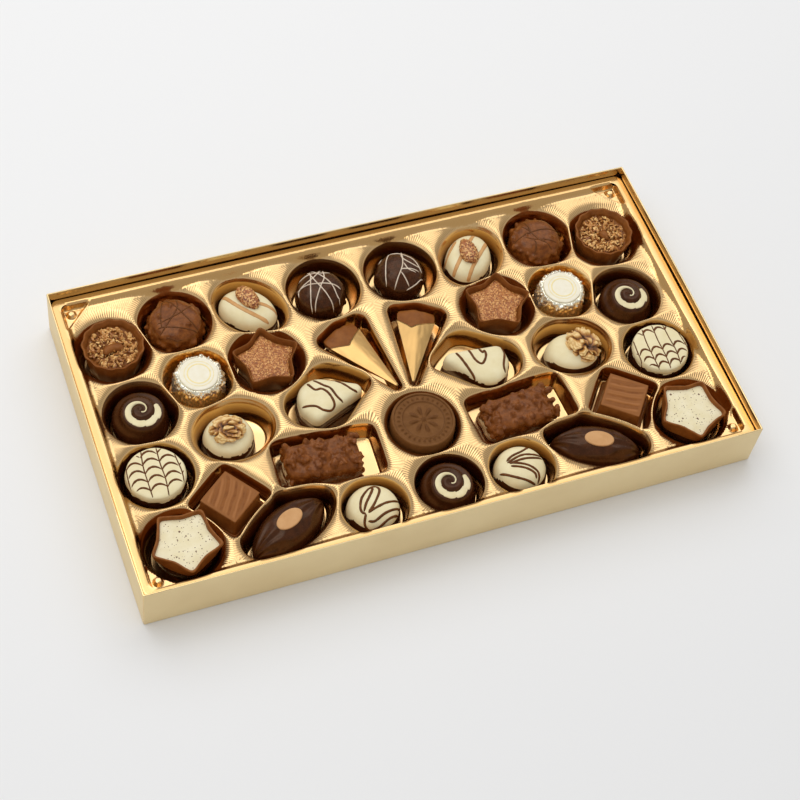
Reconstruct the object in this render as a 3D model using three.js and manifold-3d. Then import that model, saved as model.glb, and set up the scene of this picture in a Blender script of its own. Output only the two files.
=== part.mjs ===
// Open box of 34 chocolate pralines, each in its own pocket of a gold formed tray.
// Millimetres, +Z up. The origin is the middle of the box's underside, +X runs along its length and +Y to its back.

import * as THREE from 'three';
import { mergeVertices } from 'three/addons/utils/BufferGeometryUtils.js';
import Module from 'manifold-3d';

const wasm = await Module();
wasm.setup();

// Box of folded board: outer size, board thickness and how far the long walls bulge
const BOX_LENGTH = 350;
const BOX_WIDTH = 194;
const BOX_HEIGHT = 31.5;
const BOARD = 1;
const WALL_BOW = 0.5;
const BOW_STEPS = 6;

// Clearance between pieces that touch
const GAP = 0.3;

// Formed tray: outer size, where its middle lies in the box, and the heights of its rim, land and pocket lips
const TRAY_LENGTH = 345.4;
const TRAY_WIDTH = 190.2;
const TRAY_MIDDLE = [-0.4, -0.1];
const TRAY_CORNER = 4;
const RIM_TOP = 25.5;
const RIM_WIDTH_X = 4.8;
const RIM_WIDTH_Y = 4.3;
const LAND_TOP = 22.5;
const LIP_TOP = 20.6;
const LIP_FLARE = 3.6;
const POCKET_DRAFT = 2.4;
const POCKET_STEPS = 16;
const PRALINE_STEPS = 20;
const LAYOUT_MIDDLE = -0.65;

// Low corners of the tray: leg of the triangle, its floor and the knob that stands in it
const CORNER_LEG = 17;
const CORNER_FLOOR = 18;
const KNOB_RADIUS = 2.2;
const KNOB_TOP = 21.5;

const TURN = Math.PI * 2;
const radians = THREE.MathUtils.degToRad;

// Seeded random numbers, so that every build is the same
function randomFrom(seed) {
  let state = seed;
  return () => {
    state = (state + 0x6d2b79f5) | 0;
    let t = Math.imul(state ^ (state >>> 15), 1 | state);
    t = (t + Math.imul(t ^ (t >>> 7), 61 | t)) ^ t;
    return ((t ^ (t >>> 14)) >>> 0) / 4294967296;
  };
}

// Outlines: closed rings of [x, y], anticlockwise

function curve(steps, pointAt) {
  return Array.from({ length: steps }, (_, j) => pointAt((j / steps) * TURN));
}

function ellipse(a, b, steps = PRALINE_STEPS) {
  return curve(steps, (t) => [a * Math.cos(t), b * Math.sin(t)]);
}

// Rounded rectangle as a superellipse; a higher power has tighter corners
function softBox(length, width, power, steps) {
  const bend = (v) => Math.sign(v) * Math.abs(v) ** (2 / power);
  return curve(steps, (t) => [(length / 2) * bend(Math.cos(t)), (width / 2) * bend(Math.sin(t))]);
}

// Pointed oval
function leaf(length, width, steps) {
  const half = width / 2;
  return curve(steps, (t) => [(length / 2) * Math.cos(t), half * Math.sin(t) * Math.abs(Math.sin(t)) ** 0.35]);
}

// Star with soft points, one of them at angle 0
function star(tip, valley, steps, points = 5) {
  const middle = (tip + valley) / 2;
  const swing = (tip - valley) / 2;
  const sharpness = 0.18;
  return curve(steps, (t) => {
    const r = middle + swing * (Math.cos(points * t) + sharpness * (Math.cos(2 * points * t) - 1));
    return [r * Math.cos(t), r * Math.sin(t)];
  });
}

// Outline round a loop of circles, given anticlockwise as [x, y, radius]
function roundCircles(circles, stepsEach) {
  const normals = circles.map(([x, y, r], i) => {
    const [nx, ny, nr] = circles[(i + 1) % circles.length];
    return Math.atan2(ny - y, nx - x) - Math.acos((r - nr) / Math.hypot(nx - x, ny - y));
  });
  return circles.flatMap(([x, y, r], i) => {
    const from = normals[(i + circles.length - 1) % circles.length];
    const sweep = (((normals[i] - from) % TURN) + TURN) % TURN;
    return Array.from({ length: stepsEach }, (_, k) => {
      const angle = from + (sweep * k) / (stepsEach - 1);
      return [x + r * Math.cos(angle), y + r * Math.sin(angle)];
    });
  });
}

function offset(outline, distance) {
  const count = outline.length;
  return outline.map(([x, y], j) => {
    const [ax, ay] = outline[(j + count - 1) % count];
    const [bx, by] = outline[(j + 1) % count];
    const length = Math.hypot(bx - ax, by - ay);
    return [x + ((by - ay) / length) * distance, y - ((bx - ax) / length) * distance];
  });
}

function scaled(outline, factor) {
  return outline.map(([x, y]) => [x * factor, y * factor]);
}

function blend(first, second, share) {
  return first.map(([x, y], j) => [x + (second[j][0] - x) * share, y + (second[j][1] - y) * share]);
}

// Places an outline in the tray, turned by degrees, or mirrored for the left half
function placed(outline, [x, y], degrees, mirrored) {
  const c = Math.cos(radians(degrees));
  const s = Math.sin(radians(degrees));
  const turned = outline.map(([u, v]) => [x + u * c - v * s, y + u * s + v * c]);
  if (!mirrored) return turned.map(([u, v]) => [u + LAYOUT_MIDDLE, v]);
  return turned.map(([u, v]) => [LAYOUT_MIDDLE - u, v]).reverse();
}

// Solids

// Skin over rings of [x, y, z] from the lowest to the last, closed by a point at each end
function skin(rings, first, last) {
  const count = rings[0].length;
  const points = [...rings.flat(), first, last];
  const bottom = rings.length * count;
  const index = [];
  for (let j = 0; j < count; j += 1) {
    const next = (j + 1) % count;
    index.push(bottom, next, j);
    for (let i = 0; i < rings.length - 1; i += 1) {
      const low = i * count;
      const high = low + count;
      index.push(low + j, low + next, high + next);
      index.push(low + j, high + next, high + j);
    }
    const end = (rings.length - 1) * count;
    index.push(end + j, end + next, bottom + 1);
  }
  const geometry = new THREE.BufferGeometry();
  geometry.setAttribute('position', new THREE.Float32BufferAttribute(points.flat(), 3));
  geometry.setIndex(index);
  return geometry;
}

function middleOf(ring) {
  const sum = ring.reduce((total, point) => total.map((v, k) => v + point[k]), [0, 0, 0]);
  return sum.map((v) => v / ring.length);
}

// Solid through levels of { outline, z }, flat or domed at the end when peak is given
function stack(levels, peak, relief = (point) => point) {
  const rings = levels.map(({ outline, z }, k) =>
    outline.map(([x, y], j) => relief([x, y, z], (j / outline.length) * TURN, k)));
  const first = middleOf(rings[0]);
  const last = middleOf(rings[rings.length - 1]);
  if (peak !== undefined) last[2] = peak;
  return skin(rings, first, last);
}

// Turned or moulded shape: one outline carried through [scale, height] steps
function moulded(outline, steps, peak, relief) {
  return stack(steps.map(([scale, z]) => ({ outline: scaled(outline, scale), z })), peak, relief);
}

function toManifold(geometry) {
  const bare = geometry.clone();
  bare.deleteAttribute('normal');
  bare.deleteAttribute('uv');
  const merged = mergeVertices(bare, 1e-4);
  return new wasm.Manifold(new wasm.Mesh({
    numProp: 3,
    vertProperties: new Float32Array(merged.attributes.position.array),
    triVerts: new Uint32Array(merged.index.array),
  }));
}

function toGeometry(manifold) {
  const mesh = manifold.getMesh();
  const geometry = new THREE.BufferGeometry();
  geometry.setAttribute('position', new THREE.Float32BufferAttribute(mesh.vertProperties, 3));
  geometry.setIndex(Array.from(mesh.triVerts));
  return geometry;
}

function joined(geometries) {
  return toGeometry(geometries.map(toManifold).reduce((sum, piece) => sum.add(piece)));
}

function cut(geometry, tool) {
  return toGeometry(toManifold(geometry).subtract(toManifold(tool)));
}

// Uneven lump, such as a chip of nut, with 8 faces
function lump(size, at, random) {
  const geometry = new THREE.OctahedronGeometry(1.15, 0);
  const turn = new THREE.Euler(random() * TURN, random() * TURN, random() * TURN);
  const matrix = new THREE.Matrix4().compose(
    new THREE.Vector3(...at),
    new THREE.Quaternion().setFromEuler(turn),
    new THREE.Vector3(size * (0.8 + 0.5 * random()), size * (0.55 + 0.3 * random()), size * 0.6),
  );
  return geometry.applyMatrix4(matrix);
}

// Smooth unevenness of a hand-made surface, from -1 to 1
function ripple(angle, level, seed) {
  return 0.5 * Math.sin(3 * angle + seed) * Math.cos(1.7 * level + seed)
    + 0.5 * Math.sin(7 * angle - 2.3 * level + 2 * seed);
}

function bumpy(amount, seed) {
  return ([x, y, z], angle, level) => {
    if (level < 1) return [x, y, z];
    const push = 1 + (amount * ripple(angle, level, seed)) / Math.max(Math.hypot(x, y), 1);
    return [x * push, y * push, z];
  };
}

// Box

function wallOutline(length, width) {
  const corners = [[1, -1], [1, 1], [-1, 1], [-1, -1]];
  return corners.flatMap(([sx, sy], i) => {
    const [ex, ey] = corners[(i + 1) % 4];
    return Array.from({ length: BOW_STEPS }, (_, k) => {
      const share = k / BOW_STEPS;
      const bulge = WALL_BOW * (1 - (2 * share - 1) ** 2);
      const x = (sx + (ex - sx) * share) * (length / 2 - WALL_BOW);
      const y = (sy + (ey - sy) * share) * (width / 2 - WALL_BOW);
      return sx === ex ? [x + sx * bulge, y] : [x, y + sy * bulge];
    });
  });
}

function boxSolid() {
  const outer = wallOutline(BOX_LENGTH, BOX_WIDTH);
  const inner = wallOutline(BOX_LENGTH - 2 * BOARD, BOX_WIDTH - 2 * BOARD);
  return stack([
    { outline: outer, z: 0 },
    { outline: outer, z: BOX_HEIGHT },
    { outline: inner, z: BOX_HEIGHT },
    { outline: inner, z: BOARD },
  ]);
}

// Tray

function cornerCircles(length, width, radius) {
  const x = length / 2 - radius;
  const y = width / 2 - radius;
  return roundCircles([[x, -y, radius], [x, y, radius], [-x, y, radius], [-x, -y, radius]], 4)
    .map(([u, v]) => [u + TRAY_MIDDLE[0], v + TRAY_MIDDLE[1]]);
}

function prism(outline, low, high) {
  return stack([{ outline, z: low }, { outline, z: high }]);
}

function pocketTool({ outline, floor, draft }) {
  return stack([
    { outline: offset(outline, -draft), z: floor },
    { outline, z: LIP_TOP },
    { outline: offset(outline, LIP_FLARE), z: LAND_TOP },
    { outline: offset(outline, LIP_FLARE), z: BOX_HEIGHT },
  ]);
}

// The low triangle in each corner of the land, with its knob left standing
function cornerTools(length, width) {
  return [[1, 1], [-1, 1], [-1, -1], [1, -1]].map(([sx, sy]) => {
    const x = TRAY_MIDDLE[0] + sx * (length / 2 - 1);
    const y = TRAY_MIDDLE[1] + sy * (width / 2 - 1);
    const legs = [[x, y], [x - sx * CORNER_LEG, y], [x, y - sy * CORNER_LEG]];
    const triangle = prism(sx * sy > 0 ? legs : legs.reverse(), CORNER_FLOOR, BOX_HEIGHT);
    const knob = ellipse(KNOB_RADIUS, KNOB_RADIUS, 10)
      .map(([u, v]) => [u + x - sx * CORNER_LEG * 0.3, v + y - sy * CORNER_LEG * 0.3]);
    return cut(triangle, prism(knob, CORNER_FLOOR - 1, KNOB_TOP));
  });
}

function traySolid(pockets) {
  const block = prism(cornerCircles(TRAY_LENGTH, TRAY_WIDTH, TRAY_CORNER), BOARD + GAP, RIM_TOP);
  const length = TRAY_LENGTH - 2 * RIM_WIDTH_X;
  const width = TRAY_WIDTH - 2 * RIM_WIDTH_Y;
  const land = cornerCircles(length, width, TRAY_CORNER);
  const tools = pockets.map((pocket) => toManifold(pocketTool(pocket)));
  const inside = toManifold(prism(land, BOARD, BOX_HEIGHT));
  const sunk = tools.reduce((sum, tool) => sum.add(tool)).intersect(inside);
  const above = toManifold(prism(land, LAND_TOP, BOX_HEIGHT));
  const low = cornerTools(length, width).map(toManifold);
  return toGeometry([sunk, above, ...low].reduce((solid, tool) => solid.subtract(tool), toManifold(block)));
}

// Pralines: each is made about its own middle, with its underside at z = 0

const CUP_LOBES = 13;
const CUP_CHIPS = 9;
function nutCup(seed) {
  const rim = curve(CUP_LOBES * 2, (t) => {
    const r = 16.8 + 0.35 * Math.cos(CUP_LOBES * t);
    return [r * Math.cos(t), r * Math.sin(t)];
  });
  const shell = moulded(rim, [
    [0.8, 0], [1, 18.3], [0.9, 18.3], [0.8, 14.2], [0.3, 14.6],
  ], 16);
  const random = randomFrom(seed);
  const chips = Array.from({ length: CUP_CHIPS }, (_, k) => {
    const angle = (k / CUP_CHIPS) * TURN + 0.2 * random();
    const reach = k % 2 ? 11 : 7.4;
    return lump(2.2, [reach * Math.cos(angle), reach * Math.sin(angle), 14.4], random);
  });
  return joined([shell, ...chips]);
}

function nutDome(seed) {
  return moulded(ellipse(16.6, 16.6), [
    [0.66, 0], [0.93, 5], [1, 11], [0.9, 16.6], [0.6, 20.2],
  ], 20.9, bumpy(0.7, seed));
}

const OVAL_LENGTH = 33.5;
const OVAL_WIDTH = 26.5;
const OVAL_TOP = 14.6;
function ovalDome() {
  return moulded(ellipse(OVAL_LENGTH / 2, OVAL_WIDTH / 2), [
    [0.93, 0], [1, 3], [0.94, 8.4], [0.7, 12.6],
  ], OVAL_TOP);
}

function pecanPiece(seed) {
  return moulded(ellipse(8, 5.3, 14), [
    [0.8, OVAL_TOP - 4], [1, OVAL_TOP], [0.6, OVAL_TOP + 3.2],
  ], OVAL_TOP + 3.8, bumpy(0.4, seed));
}

function ballTruffle(seed) {
  return moulded(ellipse(14.7, 14.7), [
    [0.5, 0], [0.88, 4.4], [1, 11], [0.94, 17], [0.66, 21.8], [0.32, 23.8],
  ], 24.2, bumpy(0.4, seed));
}

// Moulded dome with a spiral ridge, and a piped curl on top
const SWIRL_TOP = 17.4;
function swirlDome() {
  const ridges = 2;
  const body = moulded(ellipse(15.6, 15.6), [
    [0.95, 0], [1, 3.5], [0.95, 8.6], [0.78, 13], [0.5, 16], [0.2, 17],
  ], 16.4, ([x, y, z], angle, level) => {
    const lift = level < 2 ? 0 : 0.45 * Math.cos(ridges * (angle + 0.75 * level));
    const push = 1 + lift / 16;
    return [x * push, y * push, z + lift * 0.6];
  });
  const path = [];
  const curlSteps = 8;
  for (let k = 0; k <= curlSteps; k += 1) {
    const share = k / curlSteps;
    const angle = radians(40) + radians(265) * share;
    const r = 6 + 3 * share;
    path.push(new THREE.Vector3(r * Math.cos(angle), r * Math.sin(angle), SWIRL_TOP - 1.3 - 0.055 * r * r * 0.5));
  }
  const section = new THREE.Shape(ellipse(1.3, 1.8, 5).map(([u, v]) => new THREE.Vector2(u, v)));
  const curl = new THREE.ExtrudeGeometry(section, {
    steps: curlSteps,
    extrudePath: new THREE.CatmullRomCurve3(path),
  });
  return joined([body, curl]);
}

const FOIL_PLEATS = 15;
function foilCap() {
  const outline = ellipse(14.8, 14.8, FOIL_PLEATS * 2);
  const depth = [0.4, 0.55, 0.35, 0];
  return moulded(outline, [[0.98, 0], [1, 3], [0.84, 15.6], [0.76, 17.6]], 17.8,
    ([x, y, z], angle, level) => {
      const push = 1 + (depth[level] * Math.cos(FOIL_PLEATS * angle)) / 15;
      return [x * push, y * push, z];
    });
}

const STAR_STEPS = 30;
function nutStar(seed) {
  const rim = star(19.2, 13.6, STAR_STEPS);
  const grains = ([x, y, z], angle, level) => [x, y, level > 3 ? z + 0.35 * ripple(5 * angle, level, seed) : z];
  return moulded(rim, [[0.8, 0], [1, 17.8], [0.94, 17.8], [0.87, 15.6], [0.45, 16.4]], 16.4, grains);
}

// Shell whose round bowl opens into a star
function speckledStar() {
  const rim = star(19, 14.6, STAR_STEPS);
  const bowl = ellipse(15.5, 15.5, STAR_STEPS);
  return stack([
    { outline: scaled(bowl, 0.76), z: 0 },
    { outline: blend(bowl, rim, 0.15), z: 7.5 },
    { outline: rim, z: 19.6 },
    { outline: scaled(rim, 0.93), z: 19.6 },
    { outline: scaled(rim, 0.86), z: 18.2 },
  ], 18.6);
}

// Foil cone lying down, tip at the origin and wide end along +X, with the slanted chocolate at its mouth
const CORNET_FOIL = 46;
const CORNET_END = 51;
const CORNET_TOP = 14.5;
const CORNET_FLAT = 0.32;
function cornet() {
  const count = 14;
  const sections = [[0.6, 0], [14, 0], [30, 0], [CORNET_FOIL, 0], [CORNET_FOIL + 0.6, 0.9], [CORNET_END, 2.6]];
  const rings = sections.map(([x, sunk]) => {
    const half = 0.5 + (11 * x) / CORNET_FOIL - (sunk ? 0.9 : 0);
    const side = CORNET_TOP - sunk - CORNET_FLAT * half;
    const depth = Math.min(half * 1.15, side - 0.2);
    return Array.from({ length: count }, (_, j) => {
      const t = (j / count) * TURN;
      const reach = Math.sin(t) > 0 ? CORNET_FLAT * half : depth;
      return [x, half * Math.cos(t), side + reach * Math.sin(t)];
    });
  });
  return skin(rings, middleOf(rings[0]), middleOf(rings[rings.length - 1]));
}

function featherDisc() {
  return moulded(ellipse(16.4, 16.4), [
    [0.94, 0], [1, 3], [1, 12], [0.97, 14.8], [0.9, 16.3],
  ], 17);
}

const WALNUT_DOME_TOP = 14;
function walnutDome(seed, place) {
  const [length, width] = place.slice(3);
  return moulded(ellipse(length / 2, width / 2), [
    [0.94, 0], [1, 3], [0.95, 8], [0.7, 12.2],
  ], WALNUT_DOME_TOP);
}

// Half a walnut: two wrinkled lobes with a furrow between them
function walnutHalf(length, width, seed) {
  const low = WALNUT_DOME_TOP;
  return moulded(ellipse(length / 2, width / 2, 16), [
    [0.7, low - 5], [0.98, low - 1.4], [0.96, low + 1.8], [0.74, low + 4.2], [0.4, low + 5],
  ], low + 4, ([x, y, z], angle, level) => {
    const wrinkle = 0.55 * Math.sin(6 * angle + 2.1 * level + seed);
    const furrow = level > 2 ? 1.5 * Math.exp(-((y / 2.2) ** 2)) : 0;
    const push = 1 + wrinkle / Math.max(Math.hypot(x, y), 3);
    return [x * push, y * push, z - furrow + 0.4 * wrinkle];
  });
}

// Half-moon with a straight back, one fat end and one narrow end
const HALFMOON = [[4, -5.5, 12], [9.5, -3, 8.5], [13, 2.5, 4.5], [-15, 4.2, 3.8]];
function halfMoonDome() {
  return moulded(roundCircles(HALFMOON, 6), [
    [0.95, 0], [1, 1.8], [0.95, 8.6], [0.76, 12.6], [0.4, 14],
  ], 14.1);
}

const SQUARE_PLATE = 29;
function bevelledSquare() {
  return moulded(softBox(SQUARE_PLATE, SQUARE_PLATE, 9, 24), [
    [1, 0], [1, 1.8], [0.93, 1.9], [0.78, 12.2], [0.75, 12.8],
  ], 12.9);
}

// Rough bar with chips of nut standing out of it
const BAR_LENGTH = 41.5;
const BAR_WIDTH = 23;
function nutBar(seed) {
  const core = moulded(softBox(BAR_LENGTH, BAR_WIDTH, 5, 24), [
    [0.94, 0], [1, 4], [0.98, 9], [0.84, 13],
  ], 13.6, bumpy(0.8, seed));
  const random = randomFrom(seed);
  const rows = 2;
  const columns = 5;
  const chips = Array.from({ length: rows * columns }, (_, k) => {
    const u = ((k % columns) + 0.5) / columns - 0.5 + 0.06 * (random() - 0.5);
    const v = (Math.floor(k / columns) + 0.5) / rows - 0.5 + 0.1 * (random() - 0.5);
    return lump(3.2, [u * (BAR_LENGTH - 4), v * (BAR_WIDTH - 3), 12.6 - 4 * v * v], random);
  });
  return joined([core, ...chips]);
}

function medallionDisc() {
  return moulded(ellipse(17.8, 17.8, 24), [
    [0.94, 0], [1, 3], [0.99, 11.6], [0.94, 13.6], [0.88, 13.6], [0.86, 13], [0.62, 13], [0.6, 13.4],
  ], 13.4);
}

// Almond shape with pleats that run to both ends
function pleatedAlmond() {
  return moulded(leaf(50, 26, 24), [
    [0.94, 0], [1, 3], [0.93, 9], [0.66, 13.8],
  ], 15.8, ([x, y, z], angle, level) => {
    const ends = Math.abs(Math.cos(angle)) ** 2;
    const lift = level < 2 ? 0 : 0.35 * ends * Math.cos(14 * angle);
    return [x, y * (1 + lift / 13), z + lift];
  });
}

function drizzledRound() {
  return moulded(ellipse(14.9, 14.9), [
    [0.95, 0], [1, 3], [0.95, 8.6], [0.72, 13.2],
  ], 15.3);
}

// Layout of the tray. Pocket: middle, lip outline, turn in degrees and floor height, for the right half; the left half
// mirrors it. left and right say where each praline lies, as [x, y, turn in degrees]. A topping lies on its praline at
// [x, y, turn] in the praline's own frame.
const COLOURS = {
  board: 0xcdb27c,
  tray: 0xe2bd6a,
  milk: 0x7a4526,
  dark: 0x35180f,
  ivory: 0xeee3c4,
  walnut: 0xc08a45,
  pecan: 0xa0623a,
};

const PAIRS = [
  {
    name: 'nut_cup', make: nutCup, colour: 'milk',
    at: [147.6, 57.4], lip: ellipse(20.4, 20.4, POCKET_STEPS), floor: 6.5,
    left: [-147.6, 58.6, 0], right: [147, 58.4, 11],
  },
  {
    name: 'nut_dome', make: nutDome, colour: 'milk',
    at: [109.7, 67.1], lip: ellipse(20.6, 20.6, POCKET_STEPS), floor: 5,
    left: [-110.2, 67, 0], right: [107.8, 66.8, 40],
  },
  {
    name: 'pecan_oval', make: ovalDome, colour: 'ivory',
    at: [66.8, 65.9], lip: ellipse(22.6, 18, POCKET_STEPS), turn: 48, floor: 6,
    left: [-68, 66.4, -42], right: [65.8, 66.6, 54],
    topping: {
      name: 'pecan_half', colour: 'pecan', left: [-1.8, 3.2, -26], right: [-1.5, 1.1, 34],
      make: (seed) => pecanPiece(seed),
    },
  },
  {
    name: 'ball_truffle', make: ballTruffle, colour: 'dark',
    at: [23.3, 66.4], lip: ellipse(21.2, 21.2, POCKET_STEPS), floor: 2,
    left: [-26, 64.8, 0], right: [22.2, 65, 30],
  },
  {
    name: 'swirl_dome', make: swirlDome, colour: 'dark',
    at: [143.9, 15], lip: ellipse(20.4, 20.4, POCKET_STEPS), floor: 5,
    left: [-144.4, 15.8, 0], right: [144.4, 14.6, 0],
  },
  {
    name: 'foil_cap', make: foilCap, colour: 'tray',
    at: [108.1, 27.7], lip: ellipse(19.3, 19.3, POCKET_STEPS), floor: 5.4,
    left: [-108.2, 28.4, 0], right: [107.9, 28.1, 7],
  },
  {
    name: 'nut_star', make: nutStar, colour: 'milk',
    at: [69, 28.6], lip: ellipse(21, 21, POCKET_STEPS), floor: 7,
    left: [-69.5, 28.1, 13], right: [68, 29.1, 0],
  },
  {
    name: 'feather_disc', make: featherDisc, colour: 'ivory',
    at: [146.4, -24.9], lip: ellipse(20.3, 20.3, POCKET_STEPS), floor: 6,
    left: [-147.4, -24.6, 0], right: [146.6, -25.4, 0],
  },
  {
    name: 'walnut_dome', make: walnutDome, colour: 'ivory',
    at: [99.3, -9.1], lip: ellipse(23.2, 19.2, POCKET_STEPS), turn: -8, floor: 6.5,
    left: [-102.8, -9.3, 0, 28.4, 28], right: [99.5, -10.6, -10, 32.4, 26.4],
    topping: {
      name: 'walnut_half', colour: 'walnut', left: [-0.4, 0.4, 3], right: [5.2, 0.9, -65],
      make: (seed, side) => (side === 'left' ? walnutHalf(19, 16, seed) : walnutHalf(22.5, 17.5, seed)),
    },
  },
  {
    name: 'halfmoon', make: halfMoonDome, colour: 'ivory',
    at: [0, 0.7], lip: roundCircles([[47, -12, 12.5], [55, -6.5, 14.5], [40, 5, 13], [25.5, 1.4, 8]], 5), floor: 7.8,
    left: [-43.2, -4.3, 205], right: [44, -2.8, -3],
  },
  {
    name: 'speckled_star', make: speckledStar, colour: 'milk',
    at: [145.3, -68.7], lip: ellipse(21.6, 21.6, POCKET_STEPS), floor: 6.2,
    left: [-144.4, -68.8, 49], right: [144.6, -69.6, 46],
  },
  {
    name: 'bevelled_square', make: bevelledSquare, colour: 'milk',
    at: [113.8, -50.2], lip: softBox(34.8, 34.8, 7, 20), turn: -38, floor: 9.5, draft: 1.6,
    left: [-114.6, -49.4, 37.5], right: [113.2, -49.6, -38],
  },
  {
    name: 'nut_bar', make: nutBar, colour: 'milk',
    at: [56.1, -39.4], lip: softBox(59.5, 33, 8, 20), turn: 3.5, floor: 9.3,
    left: [-59.6, -38.8, -5], right: [53.4, -40, 4],
  },
  {
    name: 'pleated_almond', make: pleatedAlmond, colour: 'dark',
    at: [88.6, -70.2], lip: leaf(61, 34, 20), turn: -24, floor: 6,
    left: [-89, -71, 26], right: [88, -71.2, -23],
  },
  {
    name: 'drizzled_round', make: drizzledRound, colour: 'ivory',
    at: [42.2, -74.8], lip: ellipse(18.7, 17.8, POCKET_STEPS), floor: 7, draft: 2,
    left: [-43.2, -74.4, 0], right: [41.4, -74.2, 0],
  },
  {
    name: 'cornet', make: cornet, colour: 'tray',
    at: [4.15, -9.8], lip: roundCircles([[3, 0, 3], [49, -11, 6], [45, 0, 12], [49, 11, 6]], 4), turn: 68.2, floor: 7,
    left: [-5.8, -8, 113], right: [3.2, -8, 67.5],
  },
];

const SINGLES = [
  {
    name: 'medallion', make: medallionDisc, colour: 'milk',
    at: [0, -33.9], lip: ellipse(20.6, 20.6, POCKET_STEPS), floor: 10, place: [-0.7, -33.6, 0],
  },
  {
    name: 'swirl_dome_middle', make: swirlDome, colour: 'dark',
    at: [0.65, -72.9], lip: ellipse(19.4, 18.6, POCKET_STEPS), floor: 5, draft: 2, place: [0, -73, 0],
  },
];

// Assembly

const box = new THREE.Group();

function addMesh(name, geometry, colour, [x, y, turn] = [0, 0, 0], z = 0) {
  const metal = colour === 'tray' || colour === 'board';
  const material = new THREE.MeshStandardMaterial({
    color: COLOURS[colour], roughness: metal ? 0.25 : 0.5, metalness: metal ? 0.9 : 0,
  });
  const mesh = new THREE.Mesh(geometry, material);
  mesh.name = name;
  mesh.position.set(x, y, z);
  mesh.rotation.z = radians(turn);
  box.add(mesh);
}

function addPraline(item, name, place, side, seed) {
  const body = item.make(seed, place);
  const z = item.floor + GAP;
  addMesh(name, body, item.colour, place, z);
  if (!item.topping) return;
  const { topping } = item;
  const [u, v, turn] = topping[side];
  const piece = topping.make(seed, side).rotateZ(radians(turn)).translate(u, v, 0);
  const seat = body.clone().translate(0, 0, GAP);
  addMesh(`${topping.name}_${side}`, cut(piece, seat), topping.colour, place, z);
}

function pocketOf({ at, lip, turn = 0, floor, draft = POCKET_DRAFT }, mirrored) {
  return { outline: placed(lip, at, turn, mirrored), floor, draft };
}

const pockets = [
  ...PAIRS.flatMap((item) => [pocketOf(item, false), pocketOf(item, true)]),
  ...SINGLES.map((item) => pocketOf(item, false)),
];

addMesh('box', boxSolid(), 'board');
addMesh('tray', traySolid(pockets), 'tray');
PAIRS.forEach((item, k) => {
  addPraline(item, `${item.name}_left`, item.left, 'left', 10 + k);
  addPraline(item, `${item.name}_right`, item.right, 'right', 40 + k);
});
SINGLES.forEach((item, k) => addPraline(item, item.name, item.place, 'middle', 70 + k));

export default box;
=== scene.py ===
# Looks for the open box of chocolate pralines. Lengths are millimetres until a mesh is made, which is in metres.
import math
from random import Random

import bmesh
import bpy
from mathutils import Matrix, Quaternion, Vector, noise
from mathutils.bvhtree import BVHTree
from mathutils.geometry import delaunay_2d_cdt
from mathutils.kdtree import KDTree


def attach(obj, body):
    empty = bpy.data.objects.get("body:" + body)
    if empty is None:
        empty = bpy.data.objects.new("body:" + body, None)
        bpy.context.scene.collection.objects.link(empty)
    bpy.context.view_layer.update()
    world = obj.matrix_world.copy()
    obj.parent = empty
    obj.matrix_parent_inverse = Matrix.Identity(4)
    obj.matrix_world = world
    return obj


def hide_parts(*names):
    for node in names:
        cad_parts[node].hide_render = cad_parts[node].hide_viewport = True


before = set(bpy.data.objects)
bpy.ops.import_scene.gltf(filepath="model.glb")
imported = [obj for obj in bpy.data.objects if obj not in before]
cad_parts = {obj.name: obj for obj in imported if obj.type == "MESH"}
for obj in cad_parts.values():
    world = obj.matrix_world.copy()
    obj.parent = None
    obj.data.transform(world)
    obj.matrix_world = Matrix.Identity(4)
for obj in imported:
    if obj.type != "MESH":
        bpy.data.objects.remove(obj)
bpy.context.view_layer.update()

MM = 0.001
TURN = 2 * math.pi
UP = Vector((0, 0, 1))

# Camera: where it stands, the point it aims at, its roll and its lens
CAMERA_AT = Vector((-278.05, -501.33, 854.31))
CAMERA_AIM = Vector((-1.02, -4.53, 0))
CAMERA_ROLL = math.radians(10.85)
CAMERA_LENS = 82.61

# Box of folded board
BOX_LENGTH = 350
BOX_WIDTH = 194
BOX_HEIGHT = 31.5
BOARD = 1
WALL_BOW = 0.5

# Formed tray
TRAY_LENGTH = 346.4
TRAY_WIDTH = 190.2
TRAY_MIDDLE = Vector((-0.1, -0.1))
TRAY_BOTTOM = 1.4
RIM_TOP = 25.5
RIM_WIDTH_X = 4.4
RIM_WIDTH_Y = 4.1
LIP_TOP = 20.6
DRAFT = 2.4
LAYOUT_MIDDLE = -0.65
CORNER_LEG = 17
CORNER_FLOOR = 21.2
KNOB_RADIUS = 2.2
KNOB_TOP = 23.6
RIB_PITCH = 1.05
GAP = 0.3


# Outlines: closed rings of (x, y), anticlockwise

def curve(steps, point_at):
    return [point_at(TURN * j / steps) for j in range(steps)]


def ellipse(a, b, steps=96):
    return curve(steps, lambda t: (a * math.cos(t), b * math.sin(t)))


def soft_box(length, width, power, steps=96):
    def bend(v):
        return math.copysign(abs(v) ** (2 / power), v)
    return curve(steps, lambda t: (length / 2 * bend(math.cos(t)), width / 2 * bend(math.sin(t))))


def leaf(length, width, steps=96):
    return curve(steps, lambda t: (
        length / 2 * math.cos(t), width / 2 * math.sin(t) * abs(math.sin(t)) ** 0.35))


def star(tip, valley, soften=5):
    """Five-pointed star with its tips and valleys rounded off."""
    corners = []
    for k in range(10):
        r = tip * 1.07 if k % 2 == 0 else valley * 0.985
        corners.append((r * math.cos(TURN * k / 10), r * math.sin(TURN * k / 10)))
    ring = even(corners, 0.62)
    count = len(ring)
    for _ in range(soften):
        ring = [((ring[j - 1][0] + ring[j][0] + ring[(j + 1) % count][0]) / 3,
                 (ring[j - 1][1] + ring[j][1] + ring[(j + 1) % count][1]) / 3) for j in range(count)]
    return ring


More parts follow.
